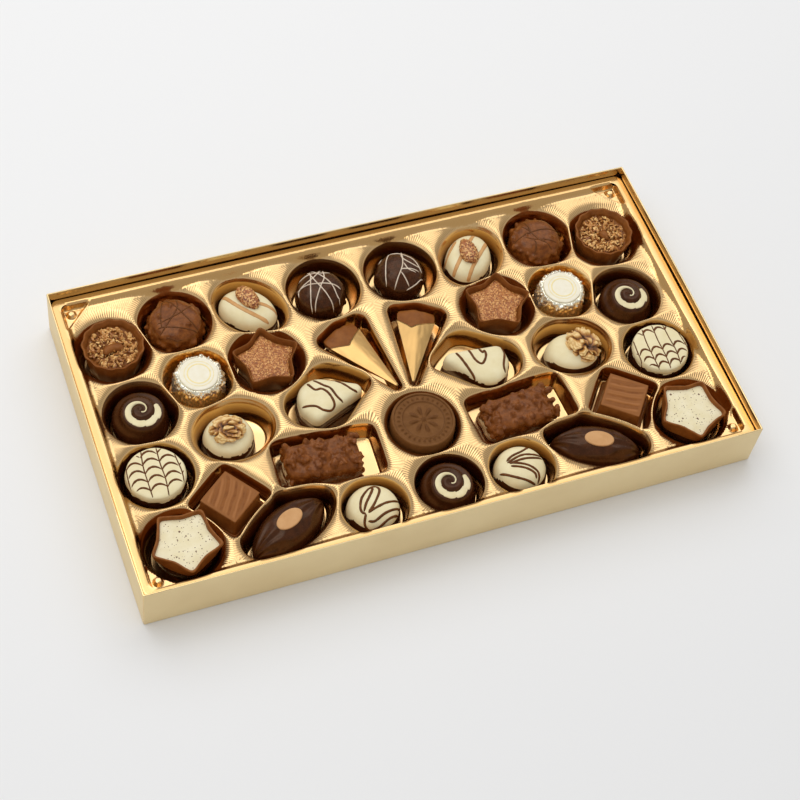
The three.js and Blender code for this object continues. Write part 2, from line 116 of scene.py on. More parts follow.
def round_circles(circles, steps_each=24):
    """Outline round a loop of circles (x, y, radius), given anticlockwise."""
    count = len(circles)
    normals = []
    for i, (x, y, r) in enumerate(circles):
        nx, ny, nr = circles[(i + 1) % count]
        away = math.acos((r - nr) / math.hypot(nx - x, ny - y))
        normals.append(math.atan2(ny - y, nx - x) - away)
    ring = []
    for i, (x, y, r) in enumerate(circles):
        start = normals[i - 1]
        sweep = (normals[i] - start) % TURN
        for k in range(steps_each):
            angle = start + sweep * k / (steps_each - 1)
            ring.append((x + r * math.cos(angle), y + r * math.sin(angle)))
    return ring


def even(ring, step):
    """The same closed ring with points about step apart."""
    total = 0
    marks = [0]
    for (ax, ay), (bx, by) in zip(ring, ring[1:] + ring[:1]):
        total += math.hypot(bx - ax, by - ay)
        marks.append(total)
    count = round(total / step)
    points = []
    side = 0
    for k in range(count):
        at = total * k / count
        while marks[side + 1] < at:
            side += 1
        share = (at - marks[side]) / (marks[side + 1] - marks[side])
        ax, ay = ring[side]
        bx, by = ring[(side + 1) % len(ring)]
        points.append((ax + (bx - ax) * share, ay + (by - ay) * share))
    return points


def normals_of(ring):
    result = []
    for j in range(len(ring)):
        ax, ay = ring[j - 1]
        bx, by = ring[(j + 1) % len(ring)]
        length = math.hypot(bx - ax, by - ay)
        result.append(((by - ay) / length, (ax - bx) / length))
    return result


def offset(ring, distance):
    return [(x + nx * distance, y + ny * distance) for (x, y), (nx, ny) in zip(ring, normals_of(ring))]


def scaled(ring, factor):
    return [(x * factor, y * factor) for x, y in ring]


def blend(first, second, share):
    return [(ax + (bx - ax) * share, ay + (by - ay) * share) for (ax, ay), (bx, by) in zip(first, second)]


def smooth_line(points, steps):
    """Catmull-Rom line through points, with steps pieces between each two."""
    vectors = [Vector(p) for p in points]
    vectors = [2 * vectors[0] - vectors[1]] + vectors + [2 * vectors[-1] - vectors[-2]]
    line = []
    for i in range(1, len(vectors) - 2):
        a, b, c, d = vectors[i - 1:i + 3]
        for k in range(steps):
            t = k / steps
            line.append(0.5 * ((2 * b) + (c - a) * t + (2 * a - 5 * b + 4 * c - d) * t * t
                               + (3 * b - a - 3 * c + d) * t ** 3))
    line.append(vectors[-2])
    return line


# Shapes: (points, faces) with points in millimetres

def skin(rings, cap_start=True, cap_end=True):
    count = len(rings[0])
    points = [Vector(p) for ring in rings for p in ring]
    faces = []
    for i in range(len(rings) - 1):
        low = i * count
        high = low + count
        for j in range(count):
            n = (j + 1) % count
            faces.append((low + j, low + n, high + n, high + j))
    for wanted, first, flip in ((cap_start, 0, True), (cap_end, (len(rings) - 1) * count, False)):
        if not wanted:
            continue
        points.append(sum(points[first:first + count], Vector()) / count)
        hub = len(points) - 1
        for j in range(count):
            n = (j + 1) % count
            faces.append((hub, first + n, first + j) if flip else (hub, first + j, first + n))
    return points, faces


def moulded(outline, profile, steps=6, relief=None, relief_from=1):
    """One outline carried through a smoothed profile of (scale, height)."""
    line = smooth_line([(s, z, 0) for s, z in profile], steps)
    rings = []
    for k, (s, z, _) in enumerate(line):
        ring = []
        for j, (x, y) in enumerate(outline):
            point = Vector((x * max(s, 0.01), y * max(s, 0.01), max(z, 0)))
            if relief and k >= relief_from:
                point = relief(point, TURN * j / len(outline), k / (len(line) - 1))
            ring.append(point)
        rings.append(ring)
    return skin(rings)


def merged(*shapes):
    points = []
    faces = []
    for more, sides in shapes:
        start = len(points)
        points += more
        faces += [tuple(start + i for i in side) for side in sides]
    return points, faces


def moved(shape, x=0, y=0, z=0, turn=0):
    matrix = Matrix.Translation((x, y, z)) @ Matrix.Rotation(math.radians(turn), 4, "Z")
    return [matrix @ p for p in shape[0]], shape[1]


ICO = {}


def ball(level):
    if level not in ICO:
        bpy.ops.mesh.primitive_ico_sphere_add(subdivisions=level, radius=1)
        made = bpy.context.object
        ICO[level] = ([v.co.copy() for v in made.data.vertices], [tuple(p.vertices) for p in made.data.polygons])
        mesh = made.data
        bpy.data.objects.remove(made)
        bpy.data.meshes.remove(mesh)
    return ICO[level]


def lump(at, size, rnd, level=2, rough=0.15):
    """Uneven rounded lump; size is its three half-lengths."""
    points, faces = ball(level)
    turn = Quaternion((rnd.gauss(0, 1), rnd.gauss(0, 1), rnd.gauss(0, 1), rnd.gauss(0, 1))).normalized()
    shift = Vector((rnd.random(), rnd.random(), rnd.random())) * 50
    scale = Vector(size)
    made = []
    for p in points:
        push = 1 + rough * noise.noise(p * 1.7 + shift)
        made.append(Vector(at) + turn @ (p * push * scale))
    return made, faces


def fused(shape, voxel, smoothing=3):
    """One skin over shapes that run into each other, as a coating makes it."""
    mesh = bpy.data.meshes.new("work")
    mesh.from_pydata(shape[0], [], shape[1])
    work = bpy.data.objects.new("work", mesh)
    bpy.context.scene.collection.objects.link(work)
    remesh = work.modifiers.new("skin", "REMESH")
    remesh.mode = "VOXEL"
    remesh.voxel_size = voxel
    if smoothing:
        smooth = work.modifiers.new("smooth", "SMOOTH")
        smooth.iterations = smoothing
        smooth.factor = 0.5
    bpy.context.view_layer.update()
    seen = work.evaluated_get(bpy.context.evaluated_depsgraph_get())
    result = seen.to_mesh()
    points = [v.co.copy() for v in result.vertices]
    faces = [tuple(p.vertices) for p in result.polygons]
    seen.to_mesh_clear()
    bpy.data.objects.remove(work)
    bpy.data.meshes.remove(mesh)
    return points, faces


def displaced(shape, push):
    """Moves each point along its normal by push(point)."""
    mesh = bpy.data.meshes.new("work")
    mesh.from_pydata(shape[0], [], shape[1])
    normals = [v.normal.copy() for v in mesh.vertices]
    bpy.data.meshes.remove(mesh)
    return [p + n * push(p) for p, n in zip(shape[0], normals)], shape[1]


def surface(shape):
    return BVHTree.FromPolygons(shape[0], shape[1])


def draped(tree, line, step=0.5, steps=10):
    """Follows a line of (x, y) over a surface: a list of (place, normal)."""
    fine = smooth_line([(x, y, 0) for x, y in line], steps)
    path = []
    last = None
    for p in fine:
        if last is not None and (p - last).length < step:
            continue
        hit, normal, _, _ = tree.ray_cast(Vector((p.x, p.y, 90)), -UP)
        if hit is None:
            continue
        if normal.z < 0.05:
            continue
        path.append((hit, normal))
        last = p
    return path


def bead(path, width, height, sides=8, taper=2, seed=0, waver=0.18):
    """Rounded bead that lies along a path of (place, normal)."""
    count = len(path)
    rings = []
    for i, (p, normal) in enumerate(path):
        ahead = path[min(i + 1, count - 1)][0] - path[max(i - 1, 0)][0]
        along = ahead.normalized()
        side = normal.cross(along).normalized()
        rise = along.cross(side)
        share = min(1, (min(i, count - 1 - i) + 0.3) / taper)
        fat = share ** 0.5 * (1 + waver * noise.noise(Vector((i * 0.35, seed * 7.3, 0))))
        rings.append([
            p + side * (width / 2 * fat * math.cos(a)) + rise * (height * fat * math.sin(a))
            for a in (TURN * j / sides for j in range(sides))])
    return skin(rings)


# Materials

def srgb(r, g, b):
    def linear(v):
        v /= 255
        return v / 12.92 if v <= 0.04045 else ((v + 0.055) / 1.055) ** 2.4
    return linear(r), linear(g), linear(b), 1


class Look:
    """A node material around one Principled shader."""

    def __init__(self, name, **values):
        self.material = bpy.data.materials.new(name)
        self.material.use_nodes = True
        self.nodes = self.material.node_tree.nodes
        self.links = self.material.node_tree.links
        self.shader = self.nodes["Principled BSDF"]
        for key, value in values.items():
            self.shader.inputs[key.replace("_", " ")].default_value = value
        self.place = self.nodes.new("ShaderNodeTexCoord").outputs["Object"]
        self.height = None

    def node(self, kind, links=(), **values):
        node = self.nodes.new("ShaderNode" + kind)
        for key, value in values.items():
            if key in node.bl_rna.properties:
                setattr(node, key, value)
            else:
                node.inputs[key.replace("_", " ")].default_value = value
        for socket, source in dict(links).items():
            self.links.new(source, node.inputs[socket])
        return node

    def noise(self, size, detail=3, roughness=0.5):
        """Noise whose features are about size millimetres."""
        return self.node("TexNoise", {"Vector": self.place}, Scale=1 / (size * MM), Detail=detail,
                         Roughness=roughness).outputs["Fac"]

    def cells(self, size, feature="F1", randomness=1.0):
        return self.node("TexVoronoi", {"Vector": self.place}, feature=feature, Scale=1 / (size * MM),
                         Randomness=randomness)

    def ramp(self, source, *stops):
        node = self.node("ValToRGB", {"Fac": source})
        elements = node.color_ramp.elements
        while len(elements) < len(stops):
            elements.new(0.5)
        for element, (at, colour) in zip(elements, stops):
            element.position = at
            element.color = colour
        return node.outputs["Color"]

    def mix(self, share, first, second):
        node = self.nodes.new("ShaderNodeMix")
        node.data_type = "RGBA"
        for socket, value in ((node.inputs[0], share), (node.inputs[6], first), (node.inputs[7], second)):
            if isinstance(value, (tuple, float, int)):
                socket.default_value = value
            else:
                self.links.new(value, socket)
        return node.outputs[2]

    def math(self, kind, first, second=0.0, third=0.0):
        node = self.nodes.new("ShaderNodeMath")
        node.operation = kind
        for socket, value in zip(node.inputs, (first, second, third)):
            if isinstance(value, (float, int)):
                socket.default_value = value
            else:
                self.links.new(value, socket)
        return node.outputs[0]

    def attribute(self, name):
        return self.node("Attribute", attribute_name=name).outputs["Fac"]

    def colour(self, source):
        self.links.new(source, self.shader.inputs["Base Color"])

    def roughness(self, source):
        self.links.new(source, self.shader.inputs["Roughness"])

    def bump(self, source, depth, strength=1.0):
        """Adds relief, with depth in millimetres."""
        values = {"Height": source}
        if self.height is not None:
            values["Normal"] = self.height
        node = self.node("Bump", values, Strength=strength, Distance=depth * MM)
        self.height = node.outputs["Normal"]
        self.links.new(self.height, self.shader.inputs["Normal"])


def chocolate(name, light, dark, roughness, coat, grain=0.05, patch=4.0):
    look = Look(name, Roughness=roughness, Coat_Weight=coat, Coat_Roughness=0.12)
    look.shader.inputs["Specular IOR Level"].default_value = 0.24
    look.shader.inputs["Specular Tint"].default_value = srgb(255, 222, 186)
    look.colour(look.ramp(look.noise(patch, 4, 0.6), (0.3, dark), (0.7, light)))
    look.roughness(look.ramp(look.noise(1.2, 3), (0.3, (roughness - 0.06,) * 3 + (1,)),
                             (0.7, (roughness + 0.08,) * 3 + (1,))))
    look.bump(look.noise(1.4, 4), grain)
    look.bump(look.noise(0.25, 2), grain * 0.3)
    return look.material


def gold(name, colour, roughness, grain=0.0):
    look = Look(name, Metallic=1.0, Roughness=roughness)
    dark = tuple(0.9 * v for v in colour[:3]) + (1,)
    look.colour(look.ramp(look.noise(14, 2), (0.3, dark), (0.7, colour)))
    if grain:
        look.bump(look.noise(0.8, 3), grain)
    return look


def groove_shaded_milk_look():
    look = Look("milk_with_painted_groove_shade", Roughness=0.36, Coat_Weight=0.1)
    look.shader.inputs["Specular IOR Level"].default_value = 0.24
    look.shader.inputs["Specular Tint"].default_value = srgb(255, 222, 186)
    # The tone attribute follows the groove relief of the top: darker brown in the troughs is painted shade, lighter
    # brown on the crests is painted highlight
    look.colour(look.ramp(look.attribute("tone"), (0.1, srgb(112, 62, 24)), (0.5, srgb(142, 86, 38)),
                          (0.9, srgb(158, 100, 52))))
    look.bump(look.noise(1.4, 4), 0.04)
    return look.material


GROOVE_SHADED_MILK = groove_shaded_milk_look()
MILK = chocolate("milk", srgb(144, 86, 36), srgb(120, 66, 24), 0.4, 0.06)
MILK_COATING = chocolate("milk_coating", srgb(138, 78, 30), srgb(92, 44, 13), 0.27, 0.14, 0.05, 3.2)
DARK = chocolate("dark", srgb(74, 38, 17), srgb(50, 23, 8), 0.22, 0.1, 0.015)
DARK_COATING = chocolate("dark_coating", srgb(78, 40, 17), srgb(44, 20, 7), 0.26, 0.12, 0.06, 3)
MEDAL = chocolate("matte_milk", srgb(120, 78, 40), srgb(106, 66, 30), 0.5, 0.0)
MEDAL_MARK = chocolate("pressed_milk", srgb(104, 64, 30), srgb(94, 56, 24), 0.5, 0.0)
IVORY = chocolate("ivory", srgb(240, 229, 190), srgb(231, 216, 170), 0.42, 0.08, 0.03, 8)
IVORY_LINE = chocolate("ivory_line", srgb(232, 216, 196), srgb(214, 194, 170), 0.45, 0.05, 0.02)
TAN_LINE = chocolate("tan_line", srgb(216, 168, 112), srgb(204, 150, 94), 0.45, 0.05, 0.02)
BROWN_LINE = chocolate("brown_line", srgb(110, 62, 25), srgb(82, 44, 15), 0.4, 0.05, 0.01)
INLAY = chocolate("inlay", srgb(212, 164, 114), srgb(200, 150, 100), 0.5, 0.0, 0.02)


def tray_look():
    """Pale gold with a deeper gold painted on the pocket walls and the flange as painted reflection of the gold in
    itself, and fine ribs pressed into the land whose troughs are darkened with painted shade.
    """
    look = Look("tray_gold", Metallic=1.0, Roughness=0.18)
    wave = look.math("SINE", look.math("MULTIPLY", look.attribute("rib"), TURN))
    ribbed = look.attribute("ribbed")
    # groove darkens the colour in the ribs' troughs: painted shade along the ribs
    groove = look.math("MULTIPLY", look.math("MULTIPLY_ADD", wave, -0.36, 0.36), ribbed)
    base = look.mix(groove, srgb(229, 191, 136), srgb(112, 76, 32))
    # The wall attribute mixes in a deeper gold: painted reflection of gold in gold on the pocket walls, the flange
    # slope and the flange
    look.colour(look.mix(look.attribute("wall"), base, srgb(206, 160, 96)))
    look.bump(look.math("MULTIPLY", wave, ribbed), 0.07)
    look.bump(look.noise(9, 2), 0.05)
    return look.material


def lining_look():
    look = gold("lining_gold", srgb(236, 206, 150), 0.17)
    look.bump(look.noise(22, 2), 0.1)
    return look.material


def board_look():
    look = Look("board_gold", Metallic=0.25, Roughness=0.5)
    look.colour(look.ramp(look.noise(30, 3), (0.3, srgb(234, 209, 157)), (0.7, srgb(241, 218, 167))))
    look.bump(look.noise(0.5, 3), 0.012)
    return look.material


def foil_look():
    look = Look("gold_foil", Metallic=0.65, Roughness=0.27)
    look.colour(look.ramp(look.noise(6, 3), (0.3, srgb(232, 188, 104)), (0.7, srgb(250, 218, 144))))
    look.bump(look.noise(2.6, 3, 0.5), 0.1)
    return look.material


def silver_look():
    """Crinkled bright foil round the cap."""
    look = Look("silver_foil", Metallic=0.8, Roughness=0.24)
    look.colour(look.ramp(look.noise(5, 3), (0.3, srgb(232, 224, 200)), (0.7, srgb(246, 242, 226))))
    look.bump(look.cells(1.6).outputs["Distance"], 0.16)
    return look.material


def chip_look():
    look = Look("nut_chips", Roughness=0.45, Coat_Weight=0.2)
    look.colour(look.ramp(look.attribute("tone"), (0.0, srgb(126, 70, 24)), (0.35, srgb(196, 132, 62)),
                          (1.0, srgb(248, 204, 130))))
    look.bump(look.noise(0.6, 3), 0.08)
    return look.material


def granular_look(name, dark, middle, light, size, glint=0.25):
    look = Look(name, Roughness=0.42, Coat_Weight=glint)
    cells = look.cells(size)
    look.colour(look.ramp(cells.outputs["Color"], (0.15, dark), (0.5, middle), (0.9, light)))
    look.bump(cells.outputs["Distance"], 0.35)
    look.bump(look.noise(0.5, 3), 0.08)
    return look.material


def speckled_look():
    look = Look("speckled_ivory", Roughness=0.45, Coat_Weight=0.05)
    base = look.ramp(look.noise(6, 3), (0.3, srgb(232, 218, 174)), (0.7, srgb(242, 231, 196)))
    for size, reach in ((1.05, 0.36), (2.6, 0.26)):
        cells = look.cells(size)
        pick = look.node("SeparateColor", {"Color": cells.outputs["Color"]}).outputs[0]
        radius = look.math("MULTIPLY", look.math("POWER", pick, 2.2), reach)
        dot = look.math("LESS_THAN", cells.outputs["Distance"], radius)
        base = look.mix(dot, base, srgb(104, 66, 36))
    look.colour(base)
    look.bump(look.noise(0.7, 3), 0.05)
    return look.material


TRAY = tray_look()
LINING = lining_look()
BOARD_GOLD = board_look()
FOIL = foil_look()
SMOOTH_FOIL = gold("cone_foil", srgb(204, 164, 104), 0.33, 0.05).material
SILVER = silver_look()
CHIPS = chip_look()
# Brown foot of the ivory domes; where it rises at the front it is painted shade.
DARK_FOOT_AND_SHADE = chocolate("dark_foot_and_shade", srgb(84, 44, 16), srgb(56, 26, 9), 0.34, 0.1, 0.02)
SATIN = chocolate("satin_foil", srgb(246, 240, 222), srgb(240, 232, 206), 0.42, 0.1, 0.01)
PALE_RING = chocolate("pale_ring", srgb(248, 232, 176), srgb(244, 224, 160), 0.4, 0.1, 0.01)
PRALINE_GRAIN = granular_look("nut_filling", srgb(146, 82, 32), srgb(186, 112, 50), srgb(236, 178, 106), 0.7, 0.1)
PECAN = granular_look("candied_nut", srgb(108, 52, 18), srgb(178, 102, 46), srgb(244, 194, 122), 0.8, 0.15)
SPECKLED = speckled_look()


def walnut_look():
    look = Look("walnut", Roughness=0.36, Coat_Weight=0.2)
    # Tone is low in the folds and high on the ridges: dark brown in the folds is painted shade, pale gold on the ridges
    # is painted highlight
    look.colour(look.ramp(look.attribute("tone"), (0.05, srgb(76, 40, 12)), (0.4, srgb(158, 100, 38)),
                          (0.7, srgb(204, 148, 72)), (0.97, srgb(242, 206, 138))))
    look.bump(look.noise(0.8, 4), 0.14)
    return look.material


WALNUT = walnut_look()


# Pieces

def add(name, shape, material, slot, node=None, smooth=True, second=None, tones=None):
    """Makes a piece. second is (material, test of a face's middle) for part of the faces."""
    mesh = bpy.data.meshes.new(name)
    mesh.from_pydata([p * MM for p in shape[0]], [], shape[1])
    mesh.materials.append(material)
    if second:
        mesh.materials.append(second[0])
        for polygon in mesh.polygons:
            polygon.material_index = int(second[1](polygon.center / MM))
    if tones:
        values = mesh.attributes.new("tone", "FLOAT", "POINT")
        values.data.foreach_set("value", tones)
    if smooth:
        mesh.polygons.foreach_set("use_smooth", [True] * len(mesh.polygons))
    mesh.update()
    piece = bpy.data.objects.new(name, mesh)
    bpy.context.scene.collection.objects.link(piece)
    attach(piece, "root")
    if node:
        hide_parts(node)
    return piece


# Box: board walls with folded edges, lined inside with glossy gold

def wall_ring(inset, z, corner):
    """Rounded rectangle whose walls bulge a little, inset from the box's outside."""
    x = BOX_LENGTH / 2 - WALL_BOW - inset
    y = BOX_WIDTH / 2 - WALL_BOW - inset
    ring = []
    steps = 24
    arc = 5
    corners = [(1, -1, -90), (1, 1, 0), (-1, 1, 90), (-1, -1, 180)]
    for i, (sx, sy, angle) in enumerate(corners):
        for k in range(arc):
            a = math.radians(angle + 90 * k / (arc - 1))
            ring.append((sx * (x - corner) + corner * math.cos(a), sy * (y - corner) + corner * math.sin(a)))
        nx, ny, _ = corners[(i + 1) % 4]
        for k in range(1, steps):
            share = k / steps
            bulge = WALL_BOW * (1 - (2 * share - 1) ** 2)
            if sx == nx:
                ring.append((sx * (x + bulge), sy * (y - corner) * (1 - 2 * share)))
            else:
                ring.append((sx * (x - corner) * (1 - 2 * share), sy * (y + bulge)))
    return [Vector((px, py, z)) for px, py in ring]


def make_box():
    top = BOX_HEIGHT
    outside = [wall_ring(0.5, 0, 0.8), wall_ring(0.12, 0.12, 0.8), wall_ring(0, 0.5, 0.8), wall_ring(0, 8, 0.8),
               wall_ring(0, 16, 0.8), wall_ring(0, 24, 0.8), wall_ring(0, top - 0.45, 0.8),
               wall_ring(0.12, top - 0.12, 0.7), wall_ring(0.35, top, 0.6)]
    inside = [wall_ring(0.65, top, 0.4), wall_ring(0.88, top - 0.12, 0.3), wall_ring(BOARD, top - 0.45, 0.3),
              wall_ring(BOARD, 16, 0.3), wall_ring(BOARD, 1.4, 0.3), wall_ring(BOARD + 0.4, BOARD, 0.3)]
    add("box_board", skin(outside + inside), BOARD_GOLD, "gold_board", "box",
        second=(LINING, lambda p: p.z > 0.9 and abs(p.x) < BOX_LENGTH / 2 - 0.62
                and abs(p.y) < BOX_WIDTH / 2 - 0.62))


# Tray: one formed sheet. Its height at a point is that of the lowest pocket wall or slope there, so that
# neighbouring pockets meet in crisp ridges.

RING_STEP = 1.5
LEAST_GAP = 0.9
SLOPE_WIDTH = 3.4
LAND_RISE = 2.6
LAND_REACH = 3.2
BEAD = 0.3
BEAD_AT = 4.0
BEAD_HALF = 0.6
LIP_EDGE = 0.12
LIP_STEPS = [(-0.4, -0.8), (-0.2, -0.35), (LIP_EDGE, 0.1)]
WALL_SHARES = (0.97, 0.9, 0.8, 0.68, 0.55, 0.42, 0.28, 0.14)
LAND_RINGS = (0.4, 0.9, 1.6, 2.6, 4.0, 5.8)
FOOT = [(-0.9, 0.0), (-0.4, 0.15), (-0.12, 0.55), (0.0, 1.1)]


def ease(t):
    t = min(max(t, 0), 1)
    return t * t * (3 - 2 * t)


class Pocket:
    def __init__(self, at, lip, turn, floor, draft, mirrored):
        c = math.cos(math.radians(turn))
        s = math.sin(math.radians(turn))
        ring = [(at[0] + u * c - v * s, at[1] + u * s + v * c) for u, v in lip]
        if mirrored:
            ring = [(LAYOUT_MIDDLE - x, y) for x, y in reversed(ring)]
        else:
            ring = [(x + LAYOUT_MIDDLE, y) for x, y in ring]
        self.set_ring(ring)
        edge, drop = LIP_STEPS[0]
        deep = LIP_TOP + drop - floor
        wall = [(edge - (draft + edge) * u, floor + deep * (1 - 0.25 * u - 0.75 * (1 - math.sqrt(1 - u * u))))
                for u in WALL_SHARES]
        self.profile = ([(s - draft, floor + z) for s, z in FOOT] + wall
                        + [(s, LIP_TOP + z) for s, z in LIP_STEPS])

    def set_ring(self, ring):
        self.ring = even(ring, RING_STEP)
        self.normals = normals_of(self.ring)
        self.middle = (sum(x for x, _ in self.ring) / len(self.ring), sum(y for _, y in self.ring) / len(self.ring))
        self.bend = []
        self.tree = KDTree(len(self.ring))
        for j, (x, y) in enumerate(self.ring):
            self.tree.insert((x, y, 0), j)
            ax, ay = self.normals[j - 1]
            bx, by = self.normals[(j + 1) % len(self.ring)]
            self.bend.append((ax * by - ay * bx) / (2 * RING_STEP))
        self.tree.balance()

    def flattened(self, others):
        """The lip drawn in where another pocket comes too near, so that a ridge stays between them."""
        shifts = []
        for x, y in self.ring:
            shift = 0
            for other in others:
                if other is not self:
                    shift = max(shift, (LEAST_GAP - other.outside(x, y)[0]) / 2)
            shifts.append(shift)
        count = len(shifts)
        for _ in range(2):
            shifts = [max(shifts[j], (shifts[j - 1] + shifts[j] + shifts[(j + 1) % count]) / 3) for j in range(count)]
        return [(x - nx * d, y - ny * d) for (x, y), (nx, ny), d in zip(self.ring, self.normals, shifts)]

    def outside(self, x, y):
        """Distance outside the lip, negative inside, and the place along the lip."""
        _, j, _ = self.tree.find((x, y, 0))
        px, py = self.ring[j]
        nx, ny = self.normals[j]
        s = (x - px) * nx + (y - py) * ny
        along = (y - py) * nx - (x - px) * ny
        return s, j * RING_STEP + along / max(1 + s * self.bend[j], 0.2)

    def height(self, s):
        if s >= LIP_EDGE:
            return LIP_TOP + LAND_RISE * (1 - math.exp(-s / LAND_REACH))
        for (sa, za), (sb, zb) in zip(self.profile, self.profile[1:]):
            if s <= sa:
                return za
            if s < sb:
                return za + (zb - za) * (s - sa) / (sb - sa)
        return zb


def flange_ring(inset_x, inset_y, radius, steps_each=8):
    x = TRAY_LENGTH / 2 - inset_x - radius
    y = TRAY_WIDTH / 2 - inset_y - radius
    ring = round_circles([(x, -y, radius), (x, y, radius), (-x, y, radius), (-x, -y, radius)], steps_each)
    return [(u + TRAY_MIDDLE.x, v + TRAY_MIDDLE.y) for u, v in ring]


class TrayField:
    def __init__(self, pockets):
        self.pockets = pockets
        self.tree = KDTree(len(pockets))
        for i, pocket in enumerate(pockets):
            self.tree.insert((*pocket.middle, 0), i)
        self.tree.balance()

    def lowest(self, x, y):
        """Height, number, distance and place along the lip of the pocket that is lowest here."""
        best = None
        for _, i, _ in self.tree.find_range((x, y, 0), 52):
            s, along = self.pockets[i].outside(x, y)
            z = self.pockets[i].height(s)
            if best is None or z < best[0]:
                best = (z, i, s, along)
        return best

    def inward(self, x, y):
        """Distance inside the flange along each side."""
        dx = TRAY_LENGTH / 2 - RIM_WIDTH_X - abs(x - TRAY_MIDDLE.x)
        dy = TRAY_WIDTH / 2 - RIM_WIDTH_Y - abs(y - TRAY_MIDDLE.y)
        return dx, dy

    def height(self, x, y):
        land, _, s, _ = self.lowest(x, y)
        if s <= 0:
            return land
        dx, dy = self.inward(x, y)
        corner = (dx + dy - CORNER_LEG) * math.sqrt(0.5)
        d = min(dx, dy)
        slope = SLOPE_WIDTH
        bead = max(BEAD * math.exp(-((d - BEAD_AT) / BEAD_HALF) ** 2) * (corner > 0),
                   BEAD * math.exp(-(corner / BEAD_HALF) ** 2) * (d > 1))
        if corner < 0:
            slope = 1.6
            land += (CORNER_FLOOR - land) * ease(-corner / 1.4)
            knob = math.hypot(dx - CORNER_LEG * 0.31, dy - CORNER_LEG * 0.31)
            land += (KNOB_TOP - CORNER_FLOOR) * ease((KNOB_RADIUS + 0.7 - knob) / 1.4)
        land += bead * ease((s - 0.8) / 1.2)
        width = min(slope, s + d)
        if d < width:
            land += (RIM_TOP - land) * (1 - ease(d / width))
        return land

    def ridges(self):
        """Lines where two pockets' walls or slopes meet: lists of (x, y)."""
        lines = []
        for i, pocket in enumerate(self.pockets):
            for _, j, _ in self.tree.find_range((*pocket.middle, 0), 75):
                if j <= i:
                    continue
                other = self.pockets[j]
                line = []
                for (x, y), (nx, ny) in zip(pocket.ring + pocket.ring[:1], pocket.normals + pocket.normals[:1]):
                    at = self.crossing(pocket, other, x, y, nx, ny)
                    if at and self.lowest(*at)[0] > pocket.height(pocket.outside(*at)[0]) - 0.03:
                        if min(self.inward(*at)) > 0.4:
                            line.append(at)
                            continue
                    if len(line) > 1:
                        lines.append(line)
                    line = []
                if len(line) > 1:
                    lines.append(line)
        return lines

    def crossing(self, pocket, other, x, y, nx, ny):
        """Where the ray from a pocket's lip meets the ridge against the other pocket."""
        def gap(t):
            px = x + nx * t
            py = y + ny * t
            return pocket.height(t) - other.height(other.outside(px, py)[0])
        near = -2.2
        far = 9.0
        if gap(near) > 0 or gap(far) < 0:
            return None
        for _ in range(18):
            middle = (near + far) / 2
            if gap(middle) > 0:
                far = middle
            else:
                near = middle
        return x + nx * near, y + ny * near


class Sheet:
    """Points and edges for the triangulation, with points kept apart."""

    def __init__(self):
        self.points = []
        self.edges = []
        self.cells = {}

    def near(self, x, y, clear):
        reach = 1 + int(clear)
        cx = math.floor(x)
        cy = math.floor(y)
        for a in range(cx - reach, cx + reach + 1):
            for b in range(cy - reach, cy + reach + 1):
                for px, py in self.cells.get((a, b), ()):
                    if (px - x) ** 2 + (py - y) ** 2 < clear * clear:
                        return True
        return False

    def add(self, x, y):
        self.points.append(Vector((x, y)))
        self.cells.setdefault((math.floor(x), math.floor(y)), []).append((x, y))
        return len(self.points) - 1

    def line(self, points, closed=False):
        made = [self.add(x, y) for x, y in points]
        self.edges += list(zip(made, made[1:]))
        if closed:
            self.edges.append((made[-1], made[0]))


def tray_sheet(field, border):
    sheet = Sheet()
    sheet.line(border, closed=True)
    ridges = field.ridges()
    guard = Sheet()
    for line in ridges:
        sheet.line(line)
        for (ax, ay), (bx, by) in zip(line, line[1:]):
            parts = max(1, round(math.hypot(bx - ax, by - ay) / 0.3))
            for k in range(parts + 1):
                guard.add(ax + (bx - ax) * k / parts, ay + (by - ay) * k / parts)
    for i, pocket in enumerate(field.pockets):
        levels = [s for s, _ in pocket.profile] + list(LAND_RINGS)
        for s in levels:
            for x, y in offset(pocket.ring, s):
                _, lowest, there, _ = field.lowest(x, y)
                if lowest != i or abs(there - s) > 0.12:
                    continue
                if guard.near(x, y, 0.3 if s < 0.5 else 0.55):
                    continue
                if min(field.inward(x, y)) > 0.35:
                    sheet.add(x, y)
    for inset in (0.5, 1.0, 1.6, 2.4, 3.2, 3.6, 4.0, 4.4, 4.8):
        for x, y in even(flange_ring(RIM_WIDTH_X + inset, RIM_WIDTH_Y + inset, 4), 1.6):
            if field.lowest(x, y)[2] > 0.5 and not sheet.near(x, y, 0.34):
                sheet.add(x, y)
    for sx in (-1, 1):
        for sy in (-1, 1):
            for x, y in corner_points(sx, sy):
                if field.lowest(x, y)[2] > 0.5 and min(field.inward(x, y)) > 0.3 and not sheet.near(x, y, 0.3):
                    sheet.add(x, y)
    step = 1.7
    for a in range(int(TRAY_LENGTH / step)):
        for b in range(int(TRAY_WIDTH / step)):
            x = -TRAY_LENGTH / 2 + (a + 0.5) * step
            y = -TRAY_WIDTH / 2 + (b + 0.5 + 0.5 * (a % 2)) * step
            if min(field.inward(x, y)) > 1 and field.lowest(x, y)[2] > 2 and not sheet.near(x, y, 1.0):
                sheet.add(x, y)
    flat, _, faces, _, _, _ = delaunay_2d_cdt(sheet.points, sheet.edges, [], 0, 1e-4)
    verts = [Vector((x, y, field.height(x, y))) for x, y in flat]
    kept = []
    for face in faces:
        x = sum(flat[i].x for i in face) / 3
        y = sum(flat[i].y for i in face) / 3
        if min(field.inward(x, y)) > 0 and inside_corner(field, x, y):
            kept.append(tuple(face))
    return verts, kept


